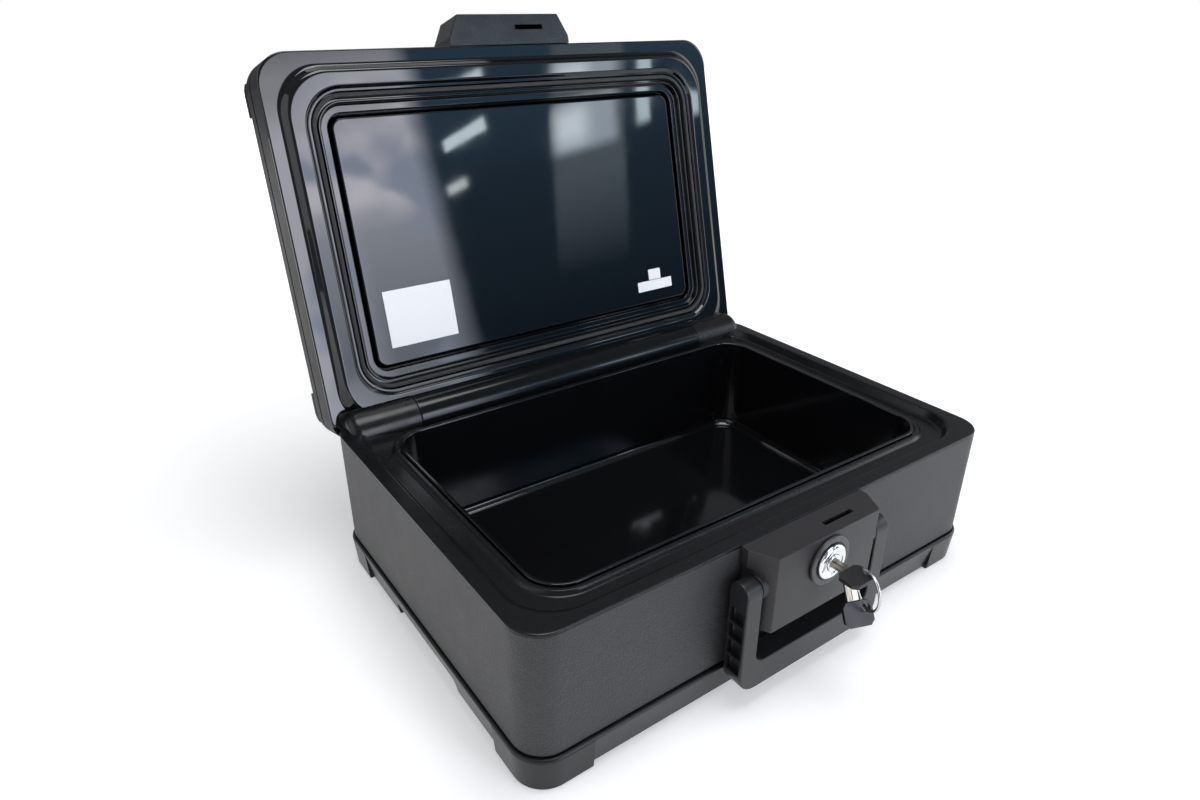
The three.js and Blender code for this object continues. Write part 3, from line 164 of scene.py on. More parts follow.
def softened(keys, closed=False):
    """A path with each bend rounded by an arc, and a close neighbour on both sides of the arc.

    The last column of the keys is the distance from the corner at which its arc starts. Lengths
    are measured in the first and last of the other columns, which are across and along.
    """
    keys = np.asarray(keys, float)
    points, bends = keys[:, :-1], keys[:, -1]
    rows = []
    for i, here in enumerate(points):
        at_end = not closed and i in (0, len(points) - 1)
        if at_end or bends[i] == 0:
            rows.append(here[None])
            continue
        sides = []
        for other in (points[i - 1], points[(i + 1) % len(points)]):
            step = other - here
            length = math.hypot(step[0], step[-1])
            sides.append((step / length, length))
        (back, back_length), (ahead, ahead_length) = sides
        reach = min(bends[i], 0.46 * back_length, 0.46 * ahead_length)
        beside = [min(0.5, 0.03 * length) for length in (back_length, ahead_length)]
        cosine = -(back[0] * ahead[0] + back[-1] * ahead[-1])
        weight = math.sqrt(max(0.02, (1 + cosine) / 2))
        rows.append((here + back * (reach + beside[0]))[None])
        rows.append(arc(here + back * reach, here, here + ahead * reach, weight, BEND_STEPS))
        rows.append((here + ahead * (reach + beside[1]))[None])
    return np.vstack(rows)


def rings(points):
    """One ring a row: four quarter circles, each with a short straight step before and after it."""
    half_x, half_y, radius, centre_y, height = (column[:, None, None] for column in points.T)
    radius = np.maximum(radius, 0.4)
    quarter = np.linspace(0.0, np.pi / 2, CORNER_STEPS + 1)
    angle = np.concatenate([[0.0], quarter, [np.pi / 2]])
    step = np.concatenate([[-SIDE_STEP], np.zeros(CORNER_STEPS + 1), [SIDE_STEP]])
    turn = np.array([-0.5, 0.0, 0.5, 1.0])[:, None] * np.pi + angle
    side_x = np.array([1.0, 1.0, -1.0, -1.0])[:, None]
    side_y = np.array([-1.0, 1.0, 1.0, -1.0])[:, None]
    x = side_x * (half_x - radius) + radius * np.cos(turn) - step * np.sin(turn)
    y = centre_y + side_y * (half_y - radius) + radius * np.sin(turn) + step * np.cos(turn)
    z = np.broadcast_to(height, x.shape)
    return np.stack([x, y, z], -1).reshape(len(points), -1, 3)


def inset_polygon(corners, distance):
    """The corners of a polygon whose sides have moved in by a distance, the sides anticlockwise."""
    corners = np.asarray(corners, float)
    side = np.roll(corners, -1, axis=0) - corners
    side /= np.linalg.norm(side, axis=1)[:, None]
    inward = np.stack([-side[:, 1], side[:, 0]], -1)
    before = np.roll(inward, 1, axis=0)
    share = 1 + (before * inward).sum(1)
    return corners + distance * (before + inward) / share[:, None]


def rounded_polygon(corners, radii, steps=5):
    """A polygon with an arc of its own radius at each corner, tangent to both sides."""
    corners = np.asarray(corners, float)
    rows = []
    for i, here in enumerate(corners):
        back = corners[i - 1] - here
        ahead = corners[(i + 1) % len(corners)] - here
        lengths = np.linalg.norm(back), np.linalg.norm(ahead)
        back, ahead = back / lengths[0], ahead / lengths[1]
        half_turn = 0.5 * math.acos(float(np.clip(-(back @ ahead), -1, 1)))
        reach = min(radii[i] * math.tan(half_turn), 0.48 * min(lengths))
        rows.append(arc(here + back * reach, here, here + ahead * reach, math.cos(half_turn), steps))
    return np.vstack(rows)


# Meshes

def along_z(u, v, w):
    """A flat shape in X and Y, carried up."""
    return np.stack([u, v, w], -1)


def along_front(u, v, w):
    """A flat shape in X and Z, carried to the front (-Y)."""
    return np.stack([u, -w, v], -1)


def along_x(u, v, w):
    """A flat shape in Y and Z, carried to the right."""
    return np.stack([w, u, v], -1)


def along_left(u, v, w):
    """The same to the left, turned half round and not mirrored."""
    return np.stack([-w, -u, v], -1)


def outward(side):
    """The way out from the middle to the right, where side is 1, or to the left, where it is -1."""
    return along_x if side > 0 else along_left


def span(side, near, far):
    """The lower and the upper end of a stretch on one side of the middle."""
    return sorted((side * near, side * far))


def piece_of(name, vertices, faces):
    """A mesh object from millimetre points, at the origin and in metres."""
    mesh = bpy.data.meshes.new(name)
    mesh.from_pydata((np.asarray(vertices) * 0.001).tolist(), [], faces)
    body = bmesh.new()
    body.from_mesh(mesh)
    bmesh.ops.recalc_face_normals(body, faces=body.faces)
    body.to_mesh(mesh)
    body.free()
    mesh.update()
    piece = bpy.data.objects.new(name, mesh)
    bpy.context.scene.collection.objects.link(piece)
    return piece


def skin(name, loops, closed=False):
    """Quads between neighbouring loops of equal counts; open ends are filled by one flat face each."""
    count, around, _ = loops.shape
    i = np.arange(count if closed else count - 1)[:, None]
    j = np.arange(around)[None, :]
    ahead, up = (j + 1) % around, (i + 1) % count
    quads = np.stack([i * around + j, i * around + ahead, up * around + ahead, up * around + j], -1)
    faces = quads.reshape(-1, 4).tolist()
    if not closed:
        faces.append(list(range(around))[::-1])
        faces.append(list(range((count - 1) * around, count * around)))
    return piece_of(name, loops.reshape(-1, 3), faces)


def moulding(name, keys, closed=False):
    """A shell that follows the chest's outline: a softened path of keys carried round it."""
    return skin(name, rings(softened(keys, closed)), closed)


def lathe(name, keys, place, centre, segments=64, closed=False):
    """A body turned about an axis: radius times cosine and sine, carried along by a softened profile."""
    profile = softened(keys, closed)
    angle = (np.arange(segments) + 0.5) / segments * 2 * np.pi
    radius, along = profile[:, 0, None], profile[:, 1, None]
    u, v = radius * np.cos(angle), radius * np.sin(angle)
    loops = place(u, v, np.broadcast_to(along, u.shape)) + np.asarray(centre, float)
    return skin(name, loops, closed)


def rod(name, radius, start, end, place, centre, segments=48):
    """A plain cylinder between two places on its axis."""
    return lathe(name, [(radius, start, 0), (radius, end, 0)], place, centre, segments)


def slab(name, corners, radii, start, end, edge, place):
    """A polygon carried along an axis, its corners and its two end edges rounded over.

    The corners are a list, or a function of the inset and of the place along the axis.
    """
    keys = [(edge, start, 0), (0, start, edge), (0, end, edge), (edge, end, 0)]
    loops = []
    for inset, along in softened(keys):
        outline = corners(inset, along) if callable(corners) else inset_polygon(corners, inset)
        flat = rounded_polygon(outline, radii)
        loops.append(place(flat[:, 0], flat[:, 1], np.full(len(flat), along)))
    return skin(name, np.array(loops))


def box(name, low, high, edge=0.0):
    """A block between two corners, with its edges rounded where an edge is given."""
    (x0, y0, z0), (x1, y1, z1) = low, high
    corners = [(x0, y0), (x1, y0), (x1, y1), (x0, y1)]
    if edge:
        return slab(name, corners, [edge] * 4, z0, z1, edge, along_z)
    flat = np.array(corners, float)
    loops = [along_z(flat[:, 0], flat[:, 1], np.full(4, z)) for z in (z0, z1)]
    return skin(name, np.array(loops))


def carve(piece, tools, operation="DIFFERENCE"):
    """Cuts the tools from a piece, joins them to it, or keeps what both hold; the tools are used up."""
    for tool in tools:
        change = piece.modifiers.new("carve", "BOOLEAN")
        change.operation, change.solver, change.object = operation, "EXACT", tool
    bpy.context.view_layer.update()
    shaped = piece.evaluated_get(bpy.context.evaluated_depsgraph_get())
    mesh = bpy.data.meshes.new_from_object(shaped)
    piece.modifiers.clear()
    piece.data = mesh
    for tool in tools:
        bpy.data.objects.remove(tool)
    return piece


def opened(piece):
    """Turns a lid piece from closed to open about the hinge line, in its mesh."""
    centre = HINGE * 0.001
    there = Matrix.Translation(centre)
    turn = there @ Matrix.Rotation(-LID_OPEN, 4, "X") @ there.inverted()
    piece.data.transform(turn)
    return piece


def dress(piece, body, material, replaces=(), sharp=32):
    """Smooths a finished piece up to its sharp edges and puts it on its body in its finish."""
    mesh = piece.data
    mesh.materials.clear()
    mesh.materials.append(material)
    mesh.polygons.foreach_set("use_smooth", np.ones(len(mesh.polygons), bool))
    mesh.set_sharp_from_angle(angle=math.radians(sharp))
    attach(piece, body)
    if replaces:
        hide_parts(*replaces)
    return piece


# Finishes

BLOTCH_SIZE, DULL_SIZE = 0.04, 0.02
RIPPLE_SIZE = 0.035
RUB_STRETCH, RUB_DEPTH = (900.0, 30.0, 30.0), 0.0000012
STREAK_DEPTH = 0.000004


def add(tree, kind, values=None, **settings):
    """A new node with some of its inputs and settings given."""
    made = tree.nodes.new(kind)
    for key, value in settings.items():
        setattr(made, key, value)
    for key, value in (values or {}).items():
        made.inputs[key].default_value = value
    return made


def noise(tree, where, size, detail=2.0, roughness=0.5):
    """Noise whose features are about size metres across."""
    values = {"Scale": 1.0 / size, "Detail": detail, "Roughness": roughness}
    made = add(tree, "ShaderNodeTexNoise", values)
    tree.links.new(where, made.inputs["Vector"])
    return made.outputs["Fac"]


def spread(tree, source, low, high, start=0.3, end=0.7):
    """A value carried in a straight line from start and end to low and high, and held outside them."""
    values = {"From Min": start, "From Max": end, "To Min": low, "To Max": high}
    made = add(tree, "ShaderNodeMapRange", values)
    tree.links.new(source, made.inputs["Value"])
    return made.outputs["Result"]


def finish(name, colour, roughness, metallic=0.0, blotch=0.05, dull=0.05, specular=0.5):
    """A surface with soft blotches in its colour and roughness; returns the material and its parts."""
    material = bpy.data.materials.new(name)
    material.use_nodes = True
    tree = material.node_tree
    shader = tree.nodes["Principled BSDF"]
    shader.inputs["Metallic"].default_value = metallic
    shader.inputs["Specular IOR Level"].default_value = specular
    where = add(tree, "ShaderNodeTexCoord").outputs["Object"]
    light = tuple(min(1.0, c * (1 + blotch)) for c in colour) + (1.0,)
    dark = tuple(c * (1 - blotch) for c in colour) + (1.0,)
    mix = add(tree, "ShaderNodeMix", data_type="RGBA")
    mix.inputs["A"].default_value = dark
    mix.inputs["B"].default_value = light
    tree.links.new(spread(tree, noise(tree, where, BLOTCH_SIZE, 4.0), 0.0, 1.0), mix.inputs["Factor"])
    tree.links.new(mix.outputs["Result"], shader.inputs["Base Color"])
    dullness = spread(tree, noise(tree, where, DULL_SIZE, 3.0), roughness - dull, roughness + dull)
    tree.links.new(dullness, shader.inputs["Roughness"])
    return material, tree, shader, where


def bumps(tree, shader, heights):
    """Chains bump layers, each a height and its depth in metres, into the shader's normal."""
    normal = None
    for source, depth in heights:
        bump = add(tree, "ShaderNodeBump", {"Strength": 1.0, "Distance": depth})
        tree.links.new(source, bump.inputs["Height"])
        if normal is not None:
            tree.links.new(normal, bump.inputs["Normal"])
        normal = bump.outputs["Normal"]
    tree.links.new(normal, shader.inputs["Normal"])


def grained(name, colour, roughness, grain=0.0011, depth=0.00012, speckle=0.0, **more):
    """Moulded plastic with a fine pebble grain: rounded cells over a little finer noise.

    With a speckle, the colour is lighter on the crowns of the finer noise, which is also the finer bump,
    and darker in its hollows.
    """
    material, tree, shader, where = finish(name, colour, roughness, **more)
    values = {"Scale": 1.0 / grain, "Smoothness": 0.6}
    cells = add(tree, "ShaderNodeTexVoronoi", values, feature="SMOOTH_F1")
    tree.links.new(where, cells.inputs["Vector"])
    fine = noise(tree, where, grain * 0.45, 3.0, 0.6)
    if speckle:
        # The speckle tints the colour by the finer bump's height: lighter on its crowns, darker in its
        # hollows.
        crown_tint = add(tree, "ShaderNodeMix", {"Factor": 1.0}, data_type="RGBA", blend_type="MULTIPLY")
        tree.links.new(shader.inputs["Base Color"].links[0].from_socket, crown_tint.inputs["A"])
        shade = spread(tree, fine, 1.0 - speckle, 1.0 + 2.0 * speckle, 0.4, 0.66)
        tree.links.new(shade, crown_tint.inputs["B"])
        tree.links.new(crown_tint.outputs["Result"], shader.inputs["Base Color"])
    bumps(tree, shader, [(cells.outputs["Distance"], depth), (fine, depth * 0.6)])
    return material


def polished(name, colour, roughness, wave_depth=0.00006, **more):
    """Glossy moulded plastic: a slow ripple from the mould, and fine rubbed streaks in its gloss."""
    material, tree, shader, where = finish(name, colour, roughness, **more)
    ripple = noise(tree, where, RIPPLE_SIZE, 1.0)
    stretch = add(tree, "ShaderNodeMapping")
    stretch.inputs["Scale"].default_value = RUB_STRETCH
    tree.links.new(where, stretch.inputs["Vector"])
    streaks = add(tree, "ShaderNodeTexNoise", {"Scale": 1.0, "Detail": 2.0})
    tree.links.new(stretch.outputs["Vector"], streaks.inputs["Vector"])
    bumps(tree, shader, [(ripple, wave_depth), (streaks.outputs["Fac"], RUB_DEPTH)])
    return material


def metal(name, colour, roughness, streak=(40.0, 40.0, 2500.0), **more):
    """Bright metal with fine streaks along one way, from stretched noise."""
    material, tree, shader, where = finish(name, colour, roughness, metallic=1.0, **more)
    stretch = add(tree, "ShaderNodeMapping")
    stretch.inputs["Scale"].default_value = streak
    tree.links.new(where, stretch.inputs["Vector"])
    streaks = add(tree, "ShaderNodeTexNoise", {"Scale": 1.0, "Detail": 3.0})
    tree.links.new(stretch.outputs["Vector"], streaks.inputs["Vector"])
    bumps(tree, shader, [(streaks.outputs["Fac"], STREAK_DEPTH)])
    return material


wall_plastic = grained("grained_wall", (0.03, 0.03, 0.031), 0.47, grain=0.0014, depth=0.00028, speckle=0.4,
                       dull=0.02, blotch=0.02, specular=0.42)
lid_plastic = grained("satin_lid", (0.006, 0.0062, 0.007), 0.36, grain=0.0016, depth=0.00012, dull=0.03,
                      blotch=0.02, specular=0.07)
satin_plastic = grained("satin_rim", (0.006, 0.0062, 0.0072), 0.26, grain=0.0009, depth=0.00001, dull=0.04,
                        specular=0.32)
drum_plastic = grained("gloss_drum", (0.003, 0.0034, 0.0042), 0.13, grain=0.0009, depth=0.000006, dull=0.02,
                       specular=0.3)
tray_plastic = grained("satin_tray", (0.01, 0.01, 0.0112), 0.3, grain=0.0009, depth=0.00003, dull=0.03,
                       specular=0.34)
gloss_plastic = polished("gloss_liner", (0.002, 0.003, 0.0042), 0.04, dull=0.01, wave_depth=0.00003)
tub_plastic = polished("gloss_tub", (0.0036, 0.0038, 0.0046), 0.1, dull=0.02)
housing_plastic = grained("matte_housing", (0.02, 0.0193, 0.0206), 0.42, grain=0.0009, depth=0.00008,
                          speckle=0.18, dull=0.03, specular=0.42)
bezel_plastic = grained("satin_bezel", (0.06, 0.059, 0.063), 0.3, grain=0.0007, depth=0.00002, dull=0.03)
tab_plastic = grained("satin_tab", (0.006, 0.0064, 0.0075), 0.26, grain=0.0007, depth=0.00002, dull=0.04)
handle_plastic = grained("satin_handle", (0.016, 0.016, 0.0175), 0.32, grain=0.0007, depth=0.00002,
                         dull=0.03, specular=0.42)
key_plastic = grained("key_head", (0.01, 0.01, 0.011), 0.4, grain=0.0006, depth=0.00002, dull=0.05)
seal_rubber = grained("seal_rubber", (0.012, 0.012, 0.013), 0.6, grain=0.0006, depth=0.00003)
filling = grained("pale_filling", (0.52, 0.49, 0.42), 0.9, grain=0.003, depth=0.0006, blotch=0.12)
chrome = metal("polished_chrome", (0.8, 0.8, 0.81), 0.09, streak=(60.0, 60.0, 60.0), dull=0.03)
steel = metal("bright_steel", (0.6, 0.61, 0.62), 0.27, dull=0.05)
nickel = metal("satin_nickel", (0.34, 0.31, 0.26), 0.3, streak=(2500.0, 40.0, 40.0), dull=0.05)
label_paper = grained("label_paper", (0.92, 0.925, 0.93), 0.4, grain=0.0008, depth=0.00001, blotch=0.01)


# Base

housing_screws = [(x, z) for x in (-FRONT_SCREW_X, FRONT_SCREW_X)
                  for z in (HOUSING_BOTTOM + 8, HOUSING_TOP - 8)]
tab_screws = [(x, z) for x in (-FRONT_SCREW_X, FRONT_SCREW_X) for z in (LID_PLANE + 7, LID_PLANE + 17)]
tray_screws = [(x, y) for x in (-TRAY_SCREW_X, TRAY_SCREW_X) for y in (-TRAY_SCREW_Y, TRAY_SCREW_Y)]


def lift_block(side, grow, bottom, outer):
    """The room of a hand-lift gap as a block, grown by a wall's thickness."""
    x = span(side, HALF_X - LIFT_DEPTH - grow, outer)
    y = LIFT_HALF_LENGTH + grow
    return box("lift_block", (x[0], -y, bottom), (x[1], y, LIFT_HEIGHT + grow))


def knuckle(name, side, clearance=0.0, start=DRUM_HALF + GAP):
    """A rounded hinge end: a cylinder whose outer edge turns in with a wide arc."""
    radius, end = DRUM_RADIUS + clearance, KNUCKLE_END + clearance
    keys = [(radius, start, 0), (radius, end, 8.5), (1.0, end, 0)]
    return lathe(name, keys, outward(side), HINGE)


def hinge_pocket(clearance):
    """The room that the hinge trough's lining and the two knuckles take, with a clearance."""
    radius = DRUM_RADIUS + TROUGH_GAP + LINING + clearance
    end = DRUM_HALF + DRUM_SEAM + LINING + clearance
    tools = [rod("pocket", radius, -end, end, along_x, HINGE)]
    return tools + [knuckle("pocket", side, clearance, DRUM_HALF - 2) for side in (-1, 1)]


def front_holes(places, start):
    """Holes for the shanks of screws, through the front wall from a given depth."""
    return [rod("hole", SCREW_HOLE, start, HALF_Y + 1, along_front, (x, 0, z), 16) for x, z in places]


def base_shell():
    """The outer walls: a path up their outside and down their inside, carried round the chest.

    The walls of the hand-lift gaps are joined to it, and the hinge's room and the holes are cut.
    """
    inner = SHELL_WALL
    keys = [
        wall(8.5, 2.8, radius=17), wall(6.0, 5.3, 1.0), wall(3.3, SHELL_STEP), wall(0.8, SHELL_STEP, 0.4),
        wall(0.0, SHELL_TOP), wall(inner, SHELL_TOP), wall(0.8 + inner, SHELL_STEP + inner),
        wall(3.3 + inner, SHELL_STEP + inner), wall(6.0 + inner, 7.3), wall(10.5, 5.3, radius=15),
    ]
    shell = moulding("chest_wall", keys)
    carve(shell, [lift_block(side, 5.3, 5.3, HALF_X - 6) for side in (-1, 1)], "UNION")
    tools = [lift_block(side, 2.8, FOOT_BOTTOM, HALF_X + 2.5) for side in (-1, 1)] + hinge_pocket(GAP)
    tools += [rod("hole", SCREW_HOLE, -1, 7, along_z, (x, y, 0), 16) for x, y in tray_screws]
    carve(shell, tools + front_holes(housing_screws, HALF_Y - 6))
    dress(shell, "base", wall_plastic, ["base_shell"])


def base_rim():
    """The rim: a closed path of flange, slope, raised step and bead, carried round the mouth.

    The hinge trough is a half pipe: a cylinder joined to the rim and a smaller one cut from it.
    """
    keys = [
        wall(0, SEAM - 2), wall(0, SEAM, 1.6), wall(11, SEAM, 1.4, 36), wall(14.5, PLATEAU, 1.6, 34),
        mouth(6.2, PLATEAU, 0.8), mouth(4.2, PLATEAU + 1.8, 0.6), mouth(3.7, BEAD_TOP, 0.8),
        mouth(0.8, BEAD_TOP, 0.5), mouth(0.8, RIM_UNDERSIDE), wall(11.5, RIM_UNDERSIDE, 0, 37),
        wall(8, FLANGE_UNDERSIDE, 0, 39), wall(2.9, FLANGE_UNDERSIDE), wall(2.9, SEAM - 2),
    ]
    rim = moulding("rim", keys, closed=True)
    lining_radius, lining_end = DRUM_RADIUS + TROUGH_GAP + LINING, DRUM_HALF + DRUM_SEAM + LINING
    lining = rod("lining", lining_radius, -lining_end, lining_end, along_x, HINGE, 96)
    carve(lining, [box("below", (-HALF_X, 0, 0), (HALF_X, HALF_Y - 0.05, PLATEAU - 0.02))], "INTERSECT")
    carve(rim, [lining], "UNION")
    trough_end = DRUM_HALF + DRUM_SEAM
    carve(rim, [rod("trough", DRUM_RADIUS + TROUGH_GAP, -trough_end, trough_end, along_x, HINGE, 96)])
    carve(rim, [knuckle("knuckle", side) for side in (-1, 1)], "UNION")
    pin_end = DRUM_HALF + PIN_REACH + GAP
    carve(rim, [rod("pin_hole", PIN_RADIUS + GAP, -pin_end, pin_end, along_x, HINGE, 24)])
    dress(rim, "base", satin_plastic, ["base_rim"])


def base_liner():
    """The tub: a path up its outside, over its edge, down its inside and across its floor."""
    keys = [
        mouth(-13.5, TUB_FLOOR - 2.3), mouth(-7.3, TUB_FLOOR + 1), mouth(-5.5, TUB_FLOOR + 6),
        mouth(-1, RIM_UNDERSIDE), mouth(-0.2, RIM_UNDERSIDE), mouth(-0.2, LINER_TOP, 0.7),
        mouth(-3.0, LINER_TOP, 0.9), mouth(-8.0, TUB_FLOOR, 7.0), mouth(-23, TUB_FLOOR),
    ]
    liner = moulding("tub", keys)
    dress(liner, "base", tub_plastic, ["base_liner"])


def corner_feet():
    """Four feet: a closed path carried round the chest, of which a block keeps each corner."""
    keys = [
        wall(12.8, FOOT_BOTTOM, 0.6), wall(0.8, FOOT_BOTTOM, 1.2), wall(-1.4, 20.3), wall(1.0, 20.3),
        wall(3.5, 5.0), wall(4.0, 1.5), wall(12.8, 1.5),
    ]
    feet = moulding("feet", keys, closed=True)
    corners = []
    for side_x in (-1, 1):
        for side_y in (-1, 1):
            x = span(side_x, HALF_X - FOOT_LENGTH, HALF_X + 9)
            y = span(side_y, HALF_Y - FOOT_LENGTH_Y, HALF_Y + 9)
            corners.append(box("corner", (x[0], y[0], -9), (x[1], y[1], LEDGE), 0.8))
    whole = corners.pop()
    carve(whole, corners, "UNION")
    return carve(feet, [whole], "INTERSECT")


def base_tray():
    """The tray: a path of foot, skirt and ledge carried round the chest, with four feet joined.

    The hand-lift gaps and the screws' holes and recesses are cut from it.
    """
    keys = [
        wall(12.3, 0, radius=15), wall(6.3, 0), wall(6.3, SKIRT_FOOT, 0.4), wall(3.3, SKIRT_FOOT, 0.8),
        wall(SKIRT_INSET, LEDGE, 2.2), wall(3.0, LEDGE), wall(5.7, 5.3), wall(8.2, 2.5, radius=17),
    ]
    tray = moulding("tray", keys)
    carve(tray, [corner_feet()], "UNION")
    carve(tray, [lift_block(side, 2.5, 0, HALF_X - 3.3) for side in (-1, 1)], "UNION")
    recesses = []
    for side in (-1, 1):
        corners = [(-LIFT_HALF_LENGTH, -14), (LIFT_HALF_LENGTH, -14), (LIFT_HALF_LENGTH, LIFT_HEIGHT),
                   (-LIFT_HALF_LENGTH, LIFT_HEIGHT)]
        inner = HALF_X - LIFT_DEPTH
        recesses.append(slab("recess", corners, [1, 1, 5, 5], inner, HALF_X + 8, 0.6, outward(side)))
    carve(tray, recesses)
    holes = [rod("hole", SCREW_HOLE, -5, 5, along_z, (x, y, 0), 16) for x, y in tray_screws]
    holes += [rod("sink", SCREW_HEAD_HOLE, -5, SCREW_SINK, along_z, (x, y, 0), 32) for x, y in tray_screws]
    carve(tray, holes)
    dress(tray, "base", tray_plastic, ["base_tray"])


def cross_screw(name, place, centre, length, turn, head=1.6):
    """A pan head screw: a domed turned head on a plain shank, with a cross cut into the head."""
    keys = [(0.6, -head, 0), (SCREW_HEAD, -head, 0.9 * head), (SCREW_HEAD, 0, 0), (SCREW_SHANK, 0, 0.3),
            (SCREW_SHANK, length, 0.6), (0.4, length, 0)]
    screw = lathe(name, keys, place, centre, 40)
    tools = []
    for wide, high in ((4.0, 0.8), (0.8, 4.0)):
        x, y = wide / 2, high / 2
        flat = np.array([(-x, -y), (x, -y), (x, y), (-x, y)])
        angle = math.radians(turn)
        flat = flat @ np.array([[math.cos(angle), math.sin(angle)], [-math.sin(angle), math.cos(angle)]])
        loops = [place(flat[:, 0], flat[:, 1], np.full(4, w)) for w in (-3.0, -0.4 * head)]
        tools.append(skin("cross", np.array(loops) + np.asarray(centre, float)))
    return carve(screw, tools)


# Lock housing and lid tab

HOUSING_RADII = [0.05, 1.6, 1.4, 1.4, 1.6, 0.05]


def housing_corners(shrink, inset):
    """The housing's outline from above, its sides moved in and its back left where it is."""
    half, front, depth = 57.5 - shrink, 48.5 - shrink, 24.4 - shrink
    back = HOUSING_BACK + inset
    corners = [(-half, back), (-half, -HALF_Y - 6.4), (-front, -HALF_Y - depth), (front, -HALF_Y - depth),
               (half, -HALF_Y - 6.4), (half, back)]
    return inset_polygon(corners, inset)


def hollow(z0, z1):
    """The room inside the housing or the tab, as a block that is cut from it."""
    corners = [(-52.4, -145.9), (-52.4, -158.3), (-44.5, -172.0), (44.5, -172.0), (52.4, -158.3),
               (52.4, -145.9)]
    return slab("hollow", corners, [0.5, 2, 2, 2, 2, 0.5], z0, z1, 0.8, along_z)


def posts(places):
    """Round posts for the screws, from the front wall to the front of the housing or tab."""
    return [rod("post", 4.0, -HOUSING_BACK, HALF_Y + 21.9, along_front, (x, 0, z), 24) for x, z in places]


def post_holes(places):
    """The holes for the screws' shanks in those posts."""
    return [rod("post_hole", SCREW_HOLE, HALF_Y - 3, HALF_Y + 13.3, along_front, (x, 0, z), 16)
            for x, z in places]


def lock_housing():
    """The housing: its outline carried up, its sides moving out by 1 mm from its foot to its top.

    Its inside, the room for the handle's arms, the hook's slot and the holes are cut from it, and
    the posts and the handle's two bosses are joined.
    """
    height = HOUSING_TOP - HOUSING_BOTTOM

    def outline(inset, z):
        return housing_corners((HOUSING_TOP - z) / height, inset)

    housing = slab("lock_housing_shell", outline, HOUSING_RADII, HOUSING_BOTTOM, HOUSING_TOP, 0.9, along_z)
    tools = [hollow(HOUSING_BOTTOM + 2.5, HOUSING_TOP - 2.5)]
    for side in (-1, 1):
        x = span(side, ARM_ROOM, 62.0)
        tools.append(box("arm_room", (x[0], -182, 0), (x[1], -145, ARM_ROOM_TOP)))
    carve(housing, tools)
    carve(housing, posts(housing_screws), "UNION")
    bosses = []
    for side in (-1, 1):
        keys = [(BOSS_RADIUS, 44, 0), (BOSS_RADIUS, BOSS_END, 0.8), (1.0, BOSS_END, 0)]
        bosses.append(lathe("boss", keys, outward(side), PIVOT, 48))
    carve(housing, bosses, "UNION")
    cuts = [box("slot", (3.5, -166.4, HOUSING_TOP - 5), (32.0, -162.7, HOUSING_TOP + 5), 0.5),
            rod("barrel_hole", BARREL_HOLE, HALF_Y + 10, HALF_Y + 30, along_front, LOCK)]
    for side in (-1, 1):
        cuts.append(rod("pin_hole", PIN_HOLE, 45.7, 57.5, outward(side), PIVOT, 24))
    carve(housing, cuts + post_holes(housing_screws))
    dress(housing, "base", housing_plastic, ["lock_housing"], sharp=26)


def lid_tab():
    """The tab: the housing's outline carried up from the seam, its sides moving in by 1 mm."""
    height = TAB_TOP - LID_PLANE

    def outline(inset, z):
        return housing_corners((z - LID_PLANE) / height, inset)

    tab = slab("lid_tab_shell", outline, HOUSING_RADII, LID_PLANE, TAB_TOP, 0.9, along_z)
    carve(tab, [hollow(LID_PLANE + 1.5, TAB_TOP - 2.5)])
    carve(tab, posts(tab_screws), "UNION")
    slot = box("slot", (4.6, -166.5, LID_PLANE - 3), (32.0, -162.6, LID_PLANE + 2.5), 0.5)
    strike_holes = [rod("hole", 1.6, LID_PLANE + 0.4, LID_PLANE + 5, along_z, (-16, y, 0), 16)
                    for y in (-159.5, -167.5)]
    carve(tab, [slot] + strike_holes + post_holes(tab_screws))
    dress(opened(tab), "lid", tab_plastic, ["lid_tab"], sharp=26)


# Lock

def lock():
    """The lock's ring, barrel and core: three profiles turned about the lock's axis."""
    back, front = BEZEL_BACK, BEZEL_BACK + BEZEL_DEPTH
    bezel = lathe("lock_ring", [
        (BARREL_HOLE, back, 0), (BEZEL_RADIUS, back, 0.3), (BEZEL_RADIUS, front, 1.2), (14.2, front, 0.5),
        (13.2, front - 1.4, 0.4), (BARREL_HOLE, front - 1.4, 0),
    ], along_front, LOCK, 96, closed=True)
    dress(bezel, "base", bezel_plastic, ["lock_bezel"])
    flange = front - 0.6
    face = flange + 3.2
    body = lathe("lock_barrel", [
        (PLUG_ROOM, BARREL_BACK, 0), (BARREL_RADIUS, BARREL_BACK, 0.4), (BARREL_RADIUS, flange, 0),
        (FLANGE_RADIUS, flange, 0.4), (FLANGE_RADIUS, face - 1.2, 0.7), (10.9, face, 0.8),
        (8.6, face, 0.4), (7.9, face - 0.7, 0.3), (PLUG_ROOM, face - 0.7, 0.2),
    ], along_front, LOCK, 96, closed=True)
    dress(body, "base", chrome, ["lock_body"])
    plug_front = face + 0.4
    plug = lathe("lock_core", [
        (3.0, 162.7, 0), (3.0, 166.3, 0), (PLUG_RADIUS, 166.3, 0), (PLUG_RADIUS, plug_front, 0.6),
        (0.6, plug_front, 0),
    ], along_front, LOCK, 64)
    low, high = (-4.3, -plug_front - 5, LOCK[2] - 1.4), (4.3, -plug_front + 12.3, LOCK[2] + 1.4)
    keyway = box("keyway", low, high, 0.25)
    screw_hole = rod("hole", 1.6, 157.7, 164.7, along_front, LOCK, 24)
    carve(plug, [keyway, screw_hole])
    dress(plug, "lock", chrome, ["lock_plug"])


# Keys and ring

